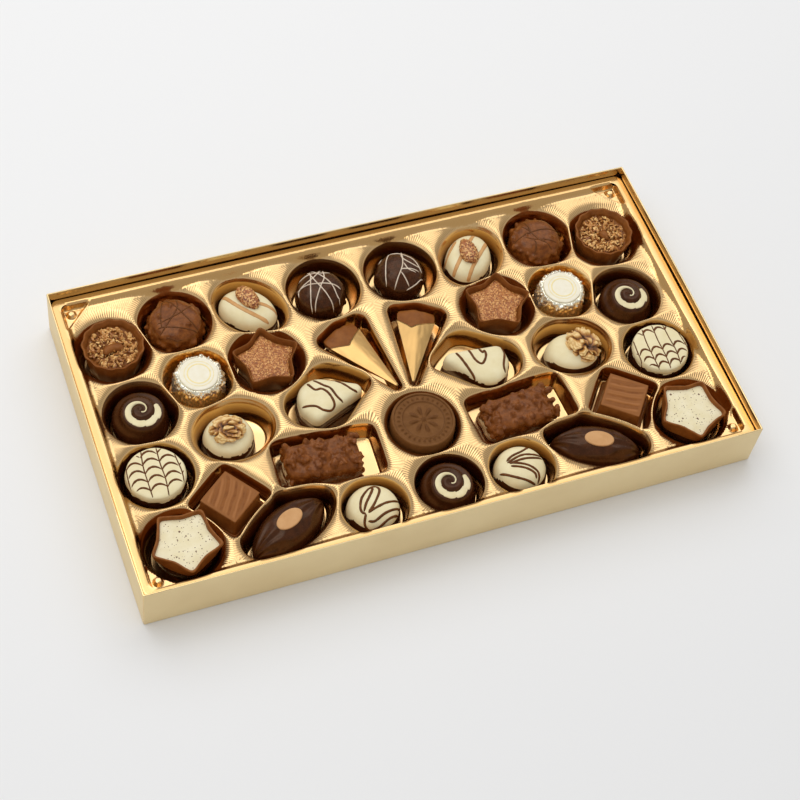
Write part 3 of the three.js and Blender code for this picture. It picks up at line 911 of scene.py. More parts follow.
def inside_corner(field, x, y):
    """Whether a point lies inside the rounded corner of the flange's inner edge."""
    dx, dy = field.inward(x, y)
    radius = 4
    if dx >= radius or dy >= radius:
        return True
    return math.hypot(radius - dx, radius - dy) < radius + 0.02


def corner_points(sx, sy):
    """Close grid over the low triangle in a corner of the land."""
    step = 0.6
    count = int((CORNER_LEG + 2.5) / step)
    points = []
    for a in range(1, count):
        for b in range(1, count - a):
            points.append((a * step, b * step))
    return [(sx * (TRAY_LENGTH / 2 - RIM_WIDTH_X - dx) + TRAY_MIDDLE.x,
             sy * (TRAY_WIDTH / 2 - RIM_WIDTH_Y - dy) + TRAY_MIDDLE.y) for dx, dy in points]


def make_tray(pockets):
    field = TrayField(pockets)
    border = even(flange_ring(RIM_WIDTH_X, RIM_WIDTH_Y, 4), 1.6)
    sheet = tray_sheet(field, border)
    # From the land's border over the flat rim, round its outer edge and down the skirt to the underside
    nx = TRAY_LENGTH / 2 - RIM_WIDTH_X
    ny = TRAY_WIDTH / 2 - RIM_WIDTH_Y
    rim = []
    for share, z in ((0, RIM_TOP), (0.35, RIM_TOP), (0.7, RIM_TOP), (0.95, RIM_TOP), (0.99, RIM_TOP - 0.1),
                     (1, RIM_TOP - 0.4), (1, 12), (1, TRAY_BOTTOM)):
        rim.append([Vector((TRAY_MIDDLE.x + (x - TRAY_MIDDLE.x) * (1 + share * RIM_WIDTH_X / nx),
                            TRAY_MIDDLE.y + (y - TRAY_MIDDLE.y) * (1 + share * RIM_WIDTH_Y / ny), z))
                    for x, y in border])
    piece = add("tray_formed", merged(sheet, skin(rim[::-1], cap_start=True, cap_end=False)), TRAY, "gold_plastic",
                "tray")
    mesh = piece.data
    weld(mesh)
    rib_marks(mesh, field)


def rib_marks(mesh, field):
    """Writes the place across the ribs at each face corner, how strong they are, and how much deeper gold is painted as
    reflection on the pocket walls and the flange.
    """
    strength = []
    wall = []
    for v in mesh.vertices:
        x, y, z = v.co / MM
        d = min(field.inward(x, y))
        slanted = 1 - ease((v.normal.z - 0.9) / 0.08)
        # wall: share of the painted reflection, 0.45 on the flange and skirt, up to 0.7 within 4 mm of the flange, and
        # on slanted pocket walls full from a little below the lip
        if d < BEAD_AT:
            wall.append(0.7 * slanted if d > 0 else 0.45)
        else:
            wall.append(ease((LIP_TOP - 0.2 - z) / 1.6) * slanted)
        if d < 0.5:
            strength.append(0.0)
            continue
        s = field.lowest(x, y)[2]
        on_bead = math.exp(-((d - BEAD_AT) / 0.6) ** 2)
        in_corner = sum(field.inward(x, y)) < CORNER_LEG + 1
        steep = 0.42 + 0.5 * math.exp(-max(s, 0) / 2.0)
        if d < BEAD_AT:
            steep = 0.2
        strength.append(ease((s - 0.25) / 0.5) * ease((d - 0.7) / 0.8) * (1 - on_bead) * steep * (not in_corner))
    mesh.attributes.new("ribbed", "FLOAT", "POINT").data.foreach_set("value", strength)
    # The wall attribute carries the share of painted reflection.
    mesh.attributes.new("wall", "FLOAT", "POINT").data.foreach_set("value", wall)
    across = [0.0] * len(mesh.loops)
    for polygon in mesh.polygons:
        x, y, _ = polygon.center / MM
        dx, dy = field.inward(x, y)
        if min(dx, dy) < 0:
            continue
        _, i, s, along = field.lowest(x, y)
        pocket = field.pockets[i]
        length = len(pocket.ring) * RING_STEP
        for k in polygon.loop_indices:
            vx, vy, _ = mesh.vertices[mesh.loops[k].vertex_index].co / MM
            if min(dx, dy) < s:
                across[k] = (vy if dx < dy else vx) / RIB_PITCH
                continue
            value = pocket.outside(vx, vy)[1]
            value -= length * round((value - along) / length)
            across[k] = value / RIB_PITCH
    mesh.attributes.new("rib", "FLOAT", "CORNER").data.foreach_set("value", across)


def weld(mesh):
    work = bmesh.new()
    work.from_mesh(mesh)
    bmesh.ops.remove_doubles(work, verts=work.verts, dist=0.02 * MM)
    bmesh.ops.recalc_face_normals(work, faces=work.faces)
    work.to_mesh(mesh)
    work.free()
    mesh.polygons.foreach_set("use_smooth", [True] * len(mesh.polygons))
    mesh.update()


# Pralines: each maker is given the piece's name, its place (x, y, turn), the height of its underside and a seed

class Site:
    """Where a praline lies; puts shapes there and makes pieces of them."""

    def __init__(self, node, place, z, seed):
        self.node = node
        self.x, self.y, self.turn = place[:3]
        self.size = place[3:]
        self.z = z
        self.seed = seed
        self.rnd = Random(seed)
        self.left = node.endswith("left")

    def add(self, suffix, shape, material, slot, **more):
        name = self.node + suffix
        if "second" in more and more["second"]:
            material_two, test = more["second"]
            back = Matrix.Rotation(-math.radians(self.turn), 4, "Z") @ Matrix.Translation((-self.x, -self.y, -self.z))
            more["second"] = (material_two, lambda p: test(back @ p))
        return add(name, moved(shape, self.x, self.y, self.z, self.turn), material, slot, **more)

    def body(self, shape, material, slot, **more):
        return self.add("_body", shape, material, slot, node=self.node, **more)


def wobble(amount, size, seed, up=0.5):
    """Relief that pushes points a little, with features of the given size."""
    shift = Vector((seed * 3.1, seed * 7.7, seed * 1.3))

    def relief(p, angle, share):
        n = noise.noise(p / size + shift)
        out = Vector((p.x, p.y, 0))
        if out.length > 0.01:
            out.normalize()
        return p + out * (amount * n) + UP * (amount * up * n * min(p.z / 4, 1))
    return relief


def lines_on(site, suffix, shape, lines, material, slot, width, height=0.3, step=0.5):
    tree = surface(shape)
    beads = []
    for k, line in enumerate(lines):
        path = draped(tree, line, step)
        if len(path) > 3:
            beads.append(bead(path, width, height, seed=site.seed + k))
    return site.add(suffix, merged(*beads), material, slot)


def nut_cup(site):
    lobes = 13
    outline = curve(156, lambda t: ((16.75 + 0.36 * math.cos(lobes * t)) * math.cos(t),
                                    (16.75 + 0.36 * math.cos(lobes * t)) * math.sin(t)))
    shell = moulded(outline, [(0.02, 0), (0.79, 0), (0.81, 0.8), (0.9, 9), (0.995, 17.6), (0.995, 18.2), (0.97, 18.4),
                              (0.94, 18.1), (0.87, 16.2), (0.81, 14.3), (0.5, 14.2), (0.02, 14.3)], 5,
                    wobble(0.15, 6, site.seed, 0.2))
    site.body(shell, MILK, "milk_chocolate")
    rnd = site.rnd
    chips = []
    tones = []
    for _ in range(360):
        r = 13.2 * math.sqrt(rnd.uniform(0.02, 1))
        a = rnd.uniform(0, TURN)
        size = rnd.uniform(0.6, 1.3)
        at = (r * math.cos(a), r * math.sin(a), 14.5 + rnd.uniform(0, 1.7) * (1 - 0.4 * r / 13))
        piece = lump(at, (size * rnd.uniform(1, 1.9), size * rnd.uniform(0.5, 0.9), size * rnd.uniform(0.4, 0.7)),
                     rnd, 1, 0.5)
        chips.append(piece)
        tones += [rnd.random()] * len(piece[0])
    site.add("_chips", merged(*chips), CHIPS, "walnut", smooth=False, tones=tones)
    if site.left:
        blob = [(-5.2, -4.2), (-3.4, -1.6), (-0.4, -0.8), (2.6, -1.2), (5.4, -2.6)]
        width = 5
    else:
        blob = [(-2.4, -2.2), (-0.8, -1.8), (0.8, -1.8), (2.2, -2.2)]
        width = 7.6
    path = [(Vector((p.x, p.y, 16.1)), UP) for p in smooth_line([(x, y, 0) for x, y in blob], 8)]
    site.add("_blob", bead(path, width, 1.6, 16, 7, site.seed, 0.1), MILK, "milk_chocolate")


def nut_dome(site):
    rnd = site.rnd
    core = moulded(ellipse(15.6, 15.6, 64), [(0.02, 0), (0.7, 0), (0.93, 3), (1, 9), (0.95, 14), (0.8, 18),
                                            (0.5, 20), (0.02, 20.5)], 4, wobble(0.8, 9, site.seed))
    lumps = []
    for k in range(66):
        a = rnd.uniform(0, TURN)
        z = rnd.uniform(1.5, 17)
        r = 15.2 if z < 13 else 15.2 - (z - 13) * 0.75
        size = rnd.uniform(1.3, 2.7)
        lumps.append(lump((r * math.cos(a), r * math.sin(a), z), (size, size * 0.85, size * 0.75), rnd))
    for k in range(5):
        a = rnd.uniform(0, TURN)
        r = rnd.uniform(4, 9)
        lumps.append(lump((r * math.cos(a), r * math.sin(a), 19.0), (2.6, 2.2, 1.1), rnd))
    shape = fused(merged(core, *lumps), 0.55, 5)
    shape = displaced(shape, lambda p: 0.08 * noise.noise(p / 1.3))
    site.body(shape, MILK_COATING, "milk_chocolate")
    if site.left:
        lines = [[(-3.5, 13), (-6.5, 6), (-8, 1), (-9, -4)], [(-1.5, 12.5), (3, 5), (6, -2.5), (10.5, -10.5)],
                 [(4, 12), (2.5, 5), (-6.5, -4.5), (-11, -8.5)], [(11.5, 6.5), (4, 2), (-2.5, 0), (-10.5, -2)],
                 [(-11, -4.5), (-7, -5), (-1.5, -7), (5, -9.5), (9.5, -11)], [(-8, -10.5), (-3.5, -13.5), (0.5, -14)]]
    else:
        lines = [[(4, 11), (-1, 3.5), (-3, -2.5), (-3, -7.5), (-3.5, -12)], [(-12, 9.5), (-2.5, 4.5), (5.5, -1.5), (10, -8)],
                 [(0, 10.5), (-1, 3.5)], [(-6, 4.5), (-4.5, -0.5), (-0.5, -7), (2, -12)],
                 [(-4.5, 0.5), (-7, -3), (-13, -5.5)]]
    lines_on(site, "_lines", shape, lines, BROWN_LINE, "dark_chocolate", 0.85, 0.3)


OVAL_TOP = 14.6


def dome(outline, top, seed, edge=2.2, full=0.0):
    """Smooth coated dome on a ragged foot."""
    profile = [(0.02, 0), (0.92, 0), (0.985, 0.5), (1, 1.3), (0.985, edge), (0.97, edge + 0.3), (0.985, top * 0.35),
               (0.95 + 0.03 * full, top * 0.55), (0.84 + 0.09 * full, top * 0.78), (0.62 + 0.16 * full, top * 0.92),
               (0.3 + 0.15 * full, top * 0.99), (0.02, top)]
    shift = Vector((seed * 5.3, seed * 1.9, 0))

    def relief(p, angle, share):
        n = noise.noise(Vector((math.cos(angle), math.sin(angle), 0)) * 4 + shift)
        if p.z < edge + 0.2:
            return Vector((p.x * (1 + 0.018 * n), p.y * (1 + 0.018 * n), p.z + 0.8 * n * min(p.z / edge, 1)))
        n = noise.noise(p / 8 + shift)
        return p + UP * 0.25 * n + Vector((p.x, p.y, 0)) * 0.006 * n
    return moulded(outline, profile, 4, relief)


def ivory_dome(site, outline, top, edge, front_foot_and_shade_top, full=0.0):
    """Ivory coat on a brown foot. The brown is painted higher on the side that faces the front of the box, where it
    stands in for shade in the pocket's gap: partly real foot, partly painted shade.
    """
    shape = dome(outline, top, site.seed, edge, full)
    shift = Vector((site.seed * 2.3, 0, 0))
    turn = math.radians(site.turn)

    # Brown foot low all round, painted higher towards the front of the box as painted shade
    def is_foot_and_front_shade(p):
        ahead = -(p.x * math.sin(turn) + p.y * math.cos(turn)) / 10
        return p.z < edge + 1 + (front_foot_and_shade_top - edge - 1) * ease((ahead + 0.6) / 1.2) + 0.5 * noise.noise(p / 3 + shift)
    site.body(shape, IVORY, "white_chocolate", second=(DARK_FOOT_AND_SHADE, is_foot_and_front_shade))
    return shape


def pecan_oval(site):
    shape = ivory_dome(site, ellipse(35 / 2, 27 / 2), OVAL_TOP, 1.6, 7.4)
    if site.left:
        lines = [[(-16.5, 0.5), (-8, -2.8), (-1.3, -4.3), (6, -4.8), (14.5, -4.5)], [(-2, 2.5), (4, 3.2), (10, 4.4), (16.5, 5)]]
    else:
        lines = [[(16, 1), (8.5, 2), (-11, 4.5), (-16.5, 5)], [(13, -7.5), (4.5, -6.5), (-7.5, -4.5), (-16.5, -4)],
                 [(7, 10), (-2, 11.2), (-9, 11.8)]]
    lines_on(site, "_stripes", shape, lines, TAN_LINE, "white_chocolate", 2.3, 0.2, 0.6)


def candied_nut(site, at):
    points, faces = ball(5)
    shift = Vector((site.seed * 3.7, 1, 2))
    made = []
    for p in points:
        cell = noise.voronoi(Vector((p.x * 8, p.y * 5.3, p.z * 4)) * 1.1 + shift)[0][0]
        push = 1.04 - 0.13 * cell + 0.08 * noise.noise(p * 2 + shift)
        slim = 1 - 0.14 * p.x
        made.append(Vector((p.x * 8.8 * push, p.y * 5.3 * slim * push, 15.5 + p.z * 3.2 * push)))
    x, y, turn = at
    shape = moved((made, faces), x, y, 0, turn)
    add(site.node.replace("pecan_oval", "pecan_half") + "_nut", moved(shape, site.x, site.y, site.z, site.turn),
        PECAN, "pecan", node=site.node.replace("pecan_oval", "pecan_half"))


def ball_truffle(site):
    rnd = site.rnd
    core = moulded(ellipse(14.2, 14.2, 64), [(0.02, 0), (0.5, 0), (0.84, 3.6), (0.99, 9), (0.98, 16.5), (0.82, 21.6),
                                            (0.45, 24.8), (0.02, 25.8)], 4, wobble(0.9, 10, site.seed))
    lumps = []
    for k in range(30):
        a = rnd.uniform(0, TURN)
        up = rnd.uniform(-0.75, 0.8)
        r = 13.5 * math.sqrt(1 - up * up)
        size = rnd.uniform(1.4, 2.8)
        lumps.append(lump((r * math.cos(a), r * math.sin(a), 13 + 12 * up), (size, size * 0.8, size * 0.6), rnd))
    shape = fused(merged(core, *lumps), 0.6)
    shape = displaced(shape, lambda p: 0.15 * noise.noise(p / 1.5))
    site.body(shape, DARK_COATING, "dark_chocolate")
    if site.left:
        lines = [[(-3, 12), (-3.5, 8.5), (-6, 1), (-8.5, -7.5), (-8.5, -11.5)], [(5, 12), (3, 4), (-1, -1.5), (-6, -9), (-7, -12)],
                 [(-13, 2.5), (-8, 2.5), (-0.5, 0.5), (7.5, -2), (10.5, -4.5)], [(4, 12.5), (-2.5, 6), (-11.5, 2.5), (-13.5, -2)],
                 [(-4, 12.5), (-3, 5), (-1, -1.5), (1.5, -8), (3.5, -13.5)], [(-2, 13), (2, 6.5), (5.5, -1), (7, -8), (8, -11)],
                 [(-10, 9), (-2, 9.5), (8, 8)]]
    else:
        lines = [[(4, 12), (-2.5, 9), (-10, 3), (-13.5, -1)], [(10, 8), (1, 0), (-8, -4), (-12.5, -6)],
                 [(-4, 13), (4, 12.5), (9.5, 0), (7, -10)], [(10, 8), (5, 3.5), (6, -3.5), (8, -7.5)],
                 [(2.5, 0.5), (1, -4.5), (3, -8.5)], [(-2, -1.5), (2.5, -5.5), (5.5, -9.5)],
                 [(-3.5, -2.5), (-4.5, -7), (-5.5, -11)], [(6, -12), (-1, -12.5), (-7.5, -11)]]
    lines_on(site, "_lines", shape, lines, IVORY_LINE, "white_chocolate", 0.7, 0.34)


def swirl_dome(site):
    """Glossy dome with a spiral ridge and an ivory ribbon that tapers along the spiral."""
    def relief(p, angle, share):
        r = math.hypot(p.x, p.y)
        fade = ease((p.z - 4) / 5)
        wave = math.cos(angle - math.radians(40) - r * 0.95)
        out = Vector((p.x, p.y, 0)) / max(r, 1)
        return p + out * (0.3 * wave * fade) + UP * (0.75 * wave * fade * min(1, r / 3))
    shape = moulded(ellipse(15.5, 15.5, 128), [(0.02, 0), (0.93, 0), (0.99, 0.8), (1, 4), (0.97, 7.6), (0.88, 11.4),
                                              (0.7, 14.4), (0.44, 16.2), (0.15, 16.7), (0.02, 16.8)], 6, relief)
    site.body(shape, DARK, "dark_chocolate")
    tree = surface(shape)
    line = []
    for k in range(44):
        share = k / 43
        angle = math.radians(-75 + 450 * share)
        r = 1.2 + 8.2 * share ** 0.75
        line.append((r * math.cos(angle), r * math.sin(angle)))
    path = draped(tree, line, 0.35, 4)
    count = len(path)
    rings = []
    for i, (p, normal) in enumerate(path):
        along = (path[min(i + 1, count - 1)][0] - path[max(i - 1, 0)][0]).normalized()
        side = normal.cross(along).normalized()
        share = i / (count - 1)
        half = (0.4 + 2.2 * ease((share - 0.12) / 0.45)) * math.sqrt(min(1, (1 - share) / 0.06 + 0.1))
        rings.append([p + normal * 0.1 + side * (half * math.cos(a)) + normal * (0.6 * math.sin(a) * min(1, half))
                      for a in (TURN * j / 12 for j in range(12))])
    site.add("_ribbon", skin(rings), IVORY, "white_chocolate")


FOIL_LOBE = math.radians(16)


def foil_cap(site):
    shift = Vector((site.seed * 1.7, 0, 0))

    def relief(p, angle, share):
        r = math.hypot(p.x, p.y)
        out = Vector((p.x, p.y, 0)) / max(r, 1)
        way = Vector((math.cos(angle), math.sin(angle), 0))
        pleat = noise.noise(way * 4 + shift)
        crease = abs(noise.noise(way * 8 + Vector((0, 0, p.z * 0.35)) + shift)) * 2 - 0.5
        side = ease((16.5 - p.z) / 3) * ease(p.z / 2 + 0.2)
        rim = math.exp(-((r - 12.2) / 1.5) ** 2) * ease((p.z - 12) / 3)
        return p + out * ((0.8 * pleat + 0.8 * crease) * side + 0.7 * crease * rim) + UP * (0.9 * crease * rim)
    shape = moulded(ellipse(14.6, 14.6, 240), [(0.02, 0), (0.94, 0), (0.985, 1), (1, 3), (0.98, 8), (0.94, 12.5),
                                              (0.89, 15.6), (0.84, 17.0), (0.78, 17.4), (0.7, 17.0), (0.3, 16.9),
                                              (0.02, 16.9)], 6, relief)

    def is_silver(p):
        lobe = max(0, math.cos(2 * (math.atan2(p.y, p.x) + FOIL_LOBE))) ** 2
        return p.z > 14 - 12 * lobe + 1.4 * noise.noise(p / 2.5)
    site.body(shape, FOIL, "gold_foil", second=(SILVER, is_silver))
    disc = moulded(ellipse(10.6, 10.6, 96), [(0.98, 16.6), (1, 17.3), (0.98, 17.7), (0.9, 17.85), (0.5, 17.9), (0.02, 17.9)], 4,
                   wobble(0.25, 4, site.seed, 0.1))
    site.add("_disc", disc, SATIN, "gold_foil")
    rings = []
    for radius, width in ((6.2, 0.8), (8.0, 0.35)):
        path = [(Vector((radius * math.cos(TURN * k / 60), radius * math.sin(TURN * k / 60), 17.88)), UP)
                for k in range(61)]
        rings.append(bead(path, width, 0.1, 8, 0.3, site.seed, 0))
    site.add("_rings", merged(*rings), PALE_RING, "gold_foil")


def granular(outline, profile, amount, seed):
    shift = Vector((seed * 2.1, seed, 0))
    shape = moulded(outline, profile, 9)

    def push(p):
        return amount * (0.6 - noise.voronoi(p / 1.15 + shift)[0][0]) + 0.4 * amount * noise.noise(p / 3 + shift)
    return displaced(shape, push)


def nut_star(site):
    rim = star(18.9, 13.6, 16)
    shell = moulded(rim, [(0.02, 0), (0.76, 0), (0.79, 0.7), (0.9, 9), (0.995, 17.3), (0.998, 17.8), (0.98, 18.05),
                          (0.955, 17.8), (0.91, 16.2), (0.86, 13.6), (0.5, 13.2), (0.02, 13.2)], 5,
                    wobble(0.5, 8, site.seed, 0.1))
    site.body(shell, MILK, "milk_chocolate")
    filling = granular(scaled(rim, 0.86), [(0.99, 13.0), (1, 14.0), (0.9, 14.8), (0.6, 15.4), (0.3, 15.7),
                                           (0.02, 15.8)], 0.55, site.seed)
    site.add("_filling", filling, PRALINE_GRAIN, "walnut")


def speckled_star(site):
    rim = star(18.9, 14.6, 12)
    bowl = ellipse(15.5, 15.5, len(rim))
    rings = []
    levels = [(scaled(bowl, 0.02), 0), (scaled(bowl, 0.7), 0), (scaled(bowl, 0.78), 0.6), (scaled(bowl, 0.92), 4),
              (blend(bowl, rim, 0.15), 8), (blend(bowl, rim, 0.4), 12), (blend(bowl, rim, 0.75), 16),
              (rim, 19.0), (scaled(rim, 1.0), 19.5), (scaled(rim, 0.99), 19.75), (scaled(rim, 0.94), 19.75),
              (scaled(rim, 0.92), 19.4), (scaled(rim, 0.895), 17.6), (scaled(rim, 0.89), 16.8), (scaled(rim, 0.02), 16.8)]
    relief = wobble(0.5, 7, site.seed, 0.2)
    for outline, z in levels:
        rings.append([relief(Vector((x, y, z)), 0, 0) for x, y in outline])
    # Below 13.5 mm the shell takes the dark chocolate look: painted shade and painted reflection of the brown pocket on
    # the bowl
    site.body(skin(rings), MILK, "milk_chocolate", second=(DARK, lambda p: p.z < 13.5))
    top = moulded(scaled(rim, 0.9), [(0.97, 16.6), (1, 17.2), (0.95, 17.5), (0.5, 17.7), (0.02, 17.7)], 6,
                  wobble(0.3, 5, site.seed + 3, 0.6))
    site.add("_filling", top, SPECKLED, "white_chocolate")


def cornet(site):
    """Chocolate cone in smooth gold foil, with a crease along its top and a notched mouth."""
    top = 14.5
    flat = 0.32
    sides = 72
    notch_at = 3.2

    def section(x, inset):
        half = max(0.5 + 11 * x / 46 - inset, 0.12)
        side = top - flat * half - inset * 0.9
        depth = min(half * 1.15, side - 0.2 + inset)
        ring = []
        for j in range(sides):
            t = TURN * j / sides
            across = half * math.cos(t)
            if math.sin(t) > 0:
                lift = flat * half * (1 - abs(math.cos(t)) ** 1.25)
            else:
                lift = depth * math.sin(t)
            ring.append((across, side + lift))
        return ring

    def mouth(j):
        t = TURN * j / sides
        if math.sin(t) <= 0:
            return 44
        across = 11.3 * math.cos(t)
        share = abs(across + notch_at) / (11.3 + (notch_at if across > -notch_at else -notch_at))
        return 37.2 + 6.3 * min(share, 1)

    rings = []
    steps = 34
    for k in range(steps + 1):
        ring = []
        for j in range(sides):
            x = 0.3 + (mouth(j) - 0.3) * (k / steps)
            across, z = section(x, 0)[j]
            wrinkle = 0.12 * noise.noise(Vector((x / 5, across / 2, site.seed))) * min(1, x / 8)
            ring.append(Vector((x, -across, z + wrinkle)))
        rings.append(ring)
    for back, inset in ((0.15, 0.22), (2.5, 0.5)):
        ring = []
        for j in range(sides):
            x = mouth(j) - back
            across, z = section(x, inset)[j]
            ring.append(Vector((x, -across, z)))
        rings.append(ring)
    foil = skin(rings)
    foil = (foil[0], [tuple(reversed(f)) for f in foil[1]])
    site.body(foil, SMOOTH_FOIL, "gold_foil")
    rings = []
    for x, inset in ((30, 0.9), (36, 0.75), (41, 0.7), (45, 0.7), (48, 0.9), (49.6, 1.5), (50.4, 2.6), (50.6, 4)):
        ring = []
        for j in range(sides):
            across, z = section(min(x, 46), inset)[j]
            dip = 0.35 * noise.noise(Vector((x / 4, across / 4, site.seed + 5)))
            ring.append(Vector((x + 0.8 * noise.noise(Vector((across / 5, 0, site.seed))) * (x > 44), -across, z + dip)))
        rings.append(ring)
    slab = skin(rings)
    slab = (slab[0], [tuple(reversed(f)) for f in slab[1]])
    site.add("_slab", slab, MILK, "milk_chocolate")


def feather_disc(site):
    profile = [(0.02, 0), (0.93, 0), (0.99, 0.8), (1, 3), (1, 8), (0.985, 11.6), (0.975, 12.4), (0.985, 13.2), (0.97, 15.0),
               (0.9, 16.4), (0.6, 16.9), (0.02, 17)]
    shape = moulded(ellipse(16.3, 16.3, 128), profile, 5, wobble(0.25, 5, site.seed, 0.3))
    site.body(shape, IVORY, "white_chocolate", second=(
        DARK, lambda p: p.z < 12.2 + 1.0 * noise.noise(p / 2.6 + Vector((site.seed, 0, 0)))))
    # Feathering: thin lines one way, and rows of arches that hang between them
    if site.left:
        columns, pitch, first, rows = 4, 9.0, -14.3, (11.5, 6.4, 1.2, -4.0, -9.4)
    else:
        columns, pitch, first, rows = 5, 7.0, -14.0, (10.6, -1.6, -6.8, -12.0)
    tree = surface(shape)
    beads = []
    for k in range(columns):
        x = first + k * pitch
        line = [(x * 0.9 + 1.0, 15.8), (x, 5), (x * 1.04, -5), (x * 0.92 - 0.6, -15.8)]
        path = draped(tree, line, 0.5)
        if len(path) > 5:
            beads.append(bead(path, 0.7, 0.16, seed=k))
    for i, y in enumerate(rows):
        for k in range(-1, columns):
            x = first + k * pitch
            lift = 0.5 * noise.noise(Vector((i * 3.7, k * 5.1, site.seed)))
            arch = [(x + pitch * u, y + lift + 3.5 * math.sin(math.pi * u) ** 0.7 - 1.2) for u in
                    (0.01, 0.08, 0.2, 0.35, 0.5, 0.65, 0.8, 0.92, 0.99)]
            arch = [p for p in arch if math.hypot(*p) < 15.8]
            if len(arch) > 2:
                path = draped(tree, arch, 0.4)
                if len(path) > 3:
                    beads.append(bead(path, 1.35, 0.2, taper=8, seed=9 * i + k))
    site.add("_feathers", merged(*beads), BROWN_LINE, "dark_chocolate")


WALNUT_DOME_TOP = 14


def walnut_dome(site):
    length, width = site.size
    ivory_dome(site, ellipse(length / 2, width / 2), WALNUT_DOME_TOP, 1.8, 8 if site.left else 9.4)


def walnut_half(site, at, length, width):
    """Wrinkled half of a walnut: two lobes with deep folds."""
    points, faces = ball(6)
    shift = Vector((site.seed * 1.9, 3.3, 7.1))
    made = []
    tones = []
    for p in points:
        warp = noise.noise_vector(p * 1.5 + shift) * 0.45
        q = p * 1.9 + warp + shift
        fold = min(abs(noise.noise(q)) * 3.4, 1)
        fine = min(abs(noise.noise(q * 2.4)) * 2.4, 1)
        groove = math.exp(-((p.y + 0.12 * math.sin(4 * p.x)) / 0.11) ** 2) * (p.z > -0.3)
        lobe = 1 + 0.1 * noise.noise(p * 1.1 + shift)
        push = (0.72 + 0.3 * fold + 0.07 * fine - 0.2 * groove) * lobe
        made.append(Vector((p.x * length / 2 * push, p.y * width / 2 * push, 14.6 + p.z * 5.2 * push)))
        # tone: low in the folds and the middle groove, high on the ridges, for painted shade and painted highlight
        tones.append(min(max(0.9 * fold + 0.25 * fine - 0.5 * groove - 0.1, 0), 1))
    x, y, turn = at
    shape = moved((made, faces), x, y, 0, turn)
    node = site.node.replace("walnut_dome", "walnut_half")
    add(node + "_nut", moved(shape, site.x, site.y, site.z, site.turn), WALNUT, "walnut", node=node, tones=tones)


HALFMOON = [(4, -5.5, 12), (9.5, -3, 8.5), (13, 2.5, 4.5), (-15, 4.2, 3.8)]


def halfmoon(site):
    shape = ivory_dome(site, even(round_circles(HALFMOON), 1.0), 14.1, 1.8, 6.4 if site.left else 9.8, 1.0)
    if site.left:
        lines = [[(0, -14.5), (-1.5, -8), (-3, -4), (-2, 2.5), (-2.5, 7)],
                 [(-6.5, -12.5), (-8.5, -8), (-10.5, -1.5), (-11.5, 4), (-13, 7)],
                 [(4, -15), (4, -9), (1, -7), (0, -3), (1, 2), (3, 5.5), (6.5, 6), (9.5, 3.5), (11, -1), (16, -6)]]
    else:
        lines = [[(-11.5, 6), (-9.5, 0.5), (-7.5, -6), (-6, -10.5), (-5.5, -13)],
                 [(-4, 6.5), (-2.5, -1), (0, -4.5), (2.5, -3), (4.5, 0.5), (4.5, 3.5), (3, 2.5), (2, 6)],
                 [(15, 5), (15.5, 0), (12.5, -7.5), (12, -12.5)]]
    lines_on(site, "_lines", shape, lines, BROWN_LINE, "dark_chocolate", 1.45, 0.42)


def bevelled_square(site):
    plate = 26.4
    upper = soft_box(plate, plate, 14, 160)
    profile = [(0.02, 0), (0.985, 0), (1, 0.25), (1, 1.5), (0.985, 1.8), (0.95, 1.85), (0.94, 2.1), (0.9, 7),
               (0.86, 11.8), (0.845, 12.6), (0.825, 12.9), (0.5, 12.95), (0.02, 12.95)]

    def groove(x, y):
        lean = math.radians(32 if site.left else 20)
        along = x * math.cos(lean) + y * math.sin(lean)
        across = y * math.cos(lean) - x * math.sin(lean)
        bend = across + 2.0 * math.sin(along / 8 + 0.6) + 0.5 * noise.noise(Vector((along / 6, across / 2, site.seed)))
        wave = 0.6 * math.sin(bend * 1.25) + 0.4 * math.sin(bend * 2.9 + 1)
        return wave * ease((10.4 - max(abs(x), abs(y))) / 2)
    shape = moulded(upper, profile, 4)
    site.body(shape, MILK, "milk_chocolate")
    cells = 44
    half = 0.84 * plate / 2
    points = []
    tones = []
    for a in range(cells + 1):
        for b in range(cells + 1):
            x = half * (2 * a / cells - 1)
            y = half * (2 * b / cells - 1)
            value = groove(x, y)
            points.append(Vector((x, y, 13.0 + 0.14 * value)))
            # Tone follows the groove relief, so the colour carries painted shade in the troughs and painted highlight
            # on the crests
            tones.append(0.5 + 0.5 * value)
    faces = []
    row = cells + 1
    for a in range(cells):
        for b in range(cells):
            faces.append((a * row + b, (a + 1) * row + b, (a + 1) * row + b + 1, a * row + b + 1))
    rim = ([a * row for a in range(row)] + [cells * row + b for b in range(1, row)]
           + [a * row + cells for a in range(cells - 1, -1, -1)] + [b for b in range(cells - 1, 0, -1)])
    low = len(points)
    points += [Vector((points[i].x, points[i].y, 12.5)) for i in rim]
    tones += [0.5] * len(rim)
    for k in range(len(rim)):
        n = (k + 1) % len(rim)
        faces.append((rim[k], low + k, low + n, rim[n]))
    faces.append(tuple(low + k for k in range(len(rim) - 1, -1, -1)))
    site.add("_top", (points, faces), GROOVE_SHADED_MILK, "milk_chocolate", tones=tones)


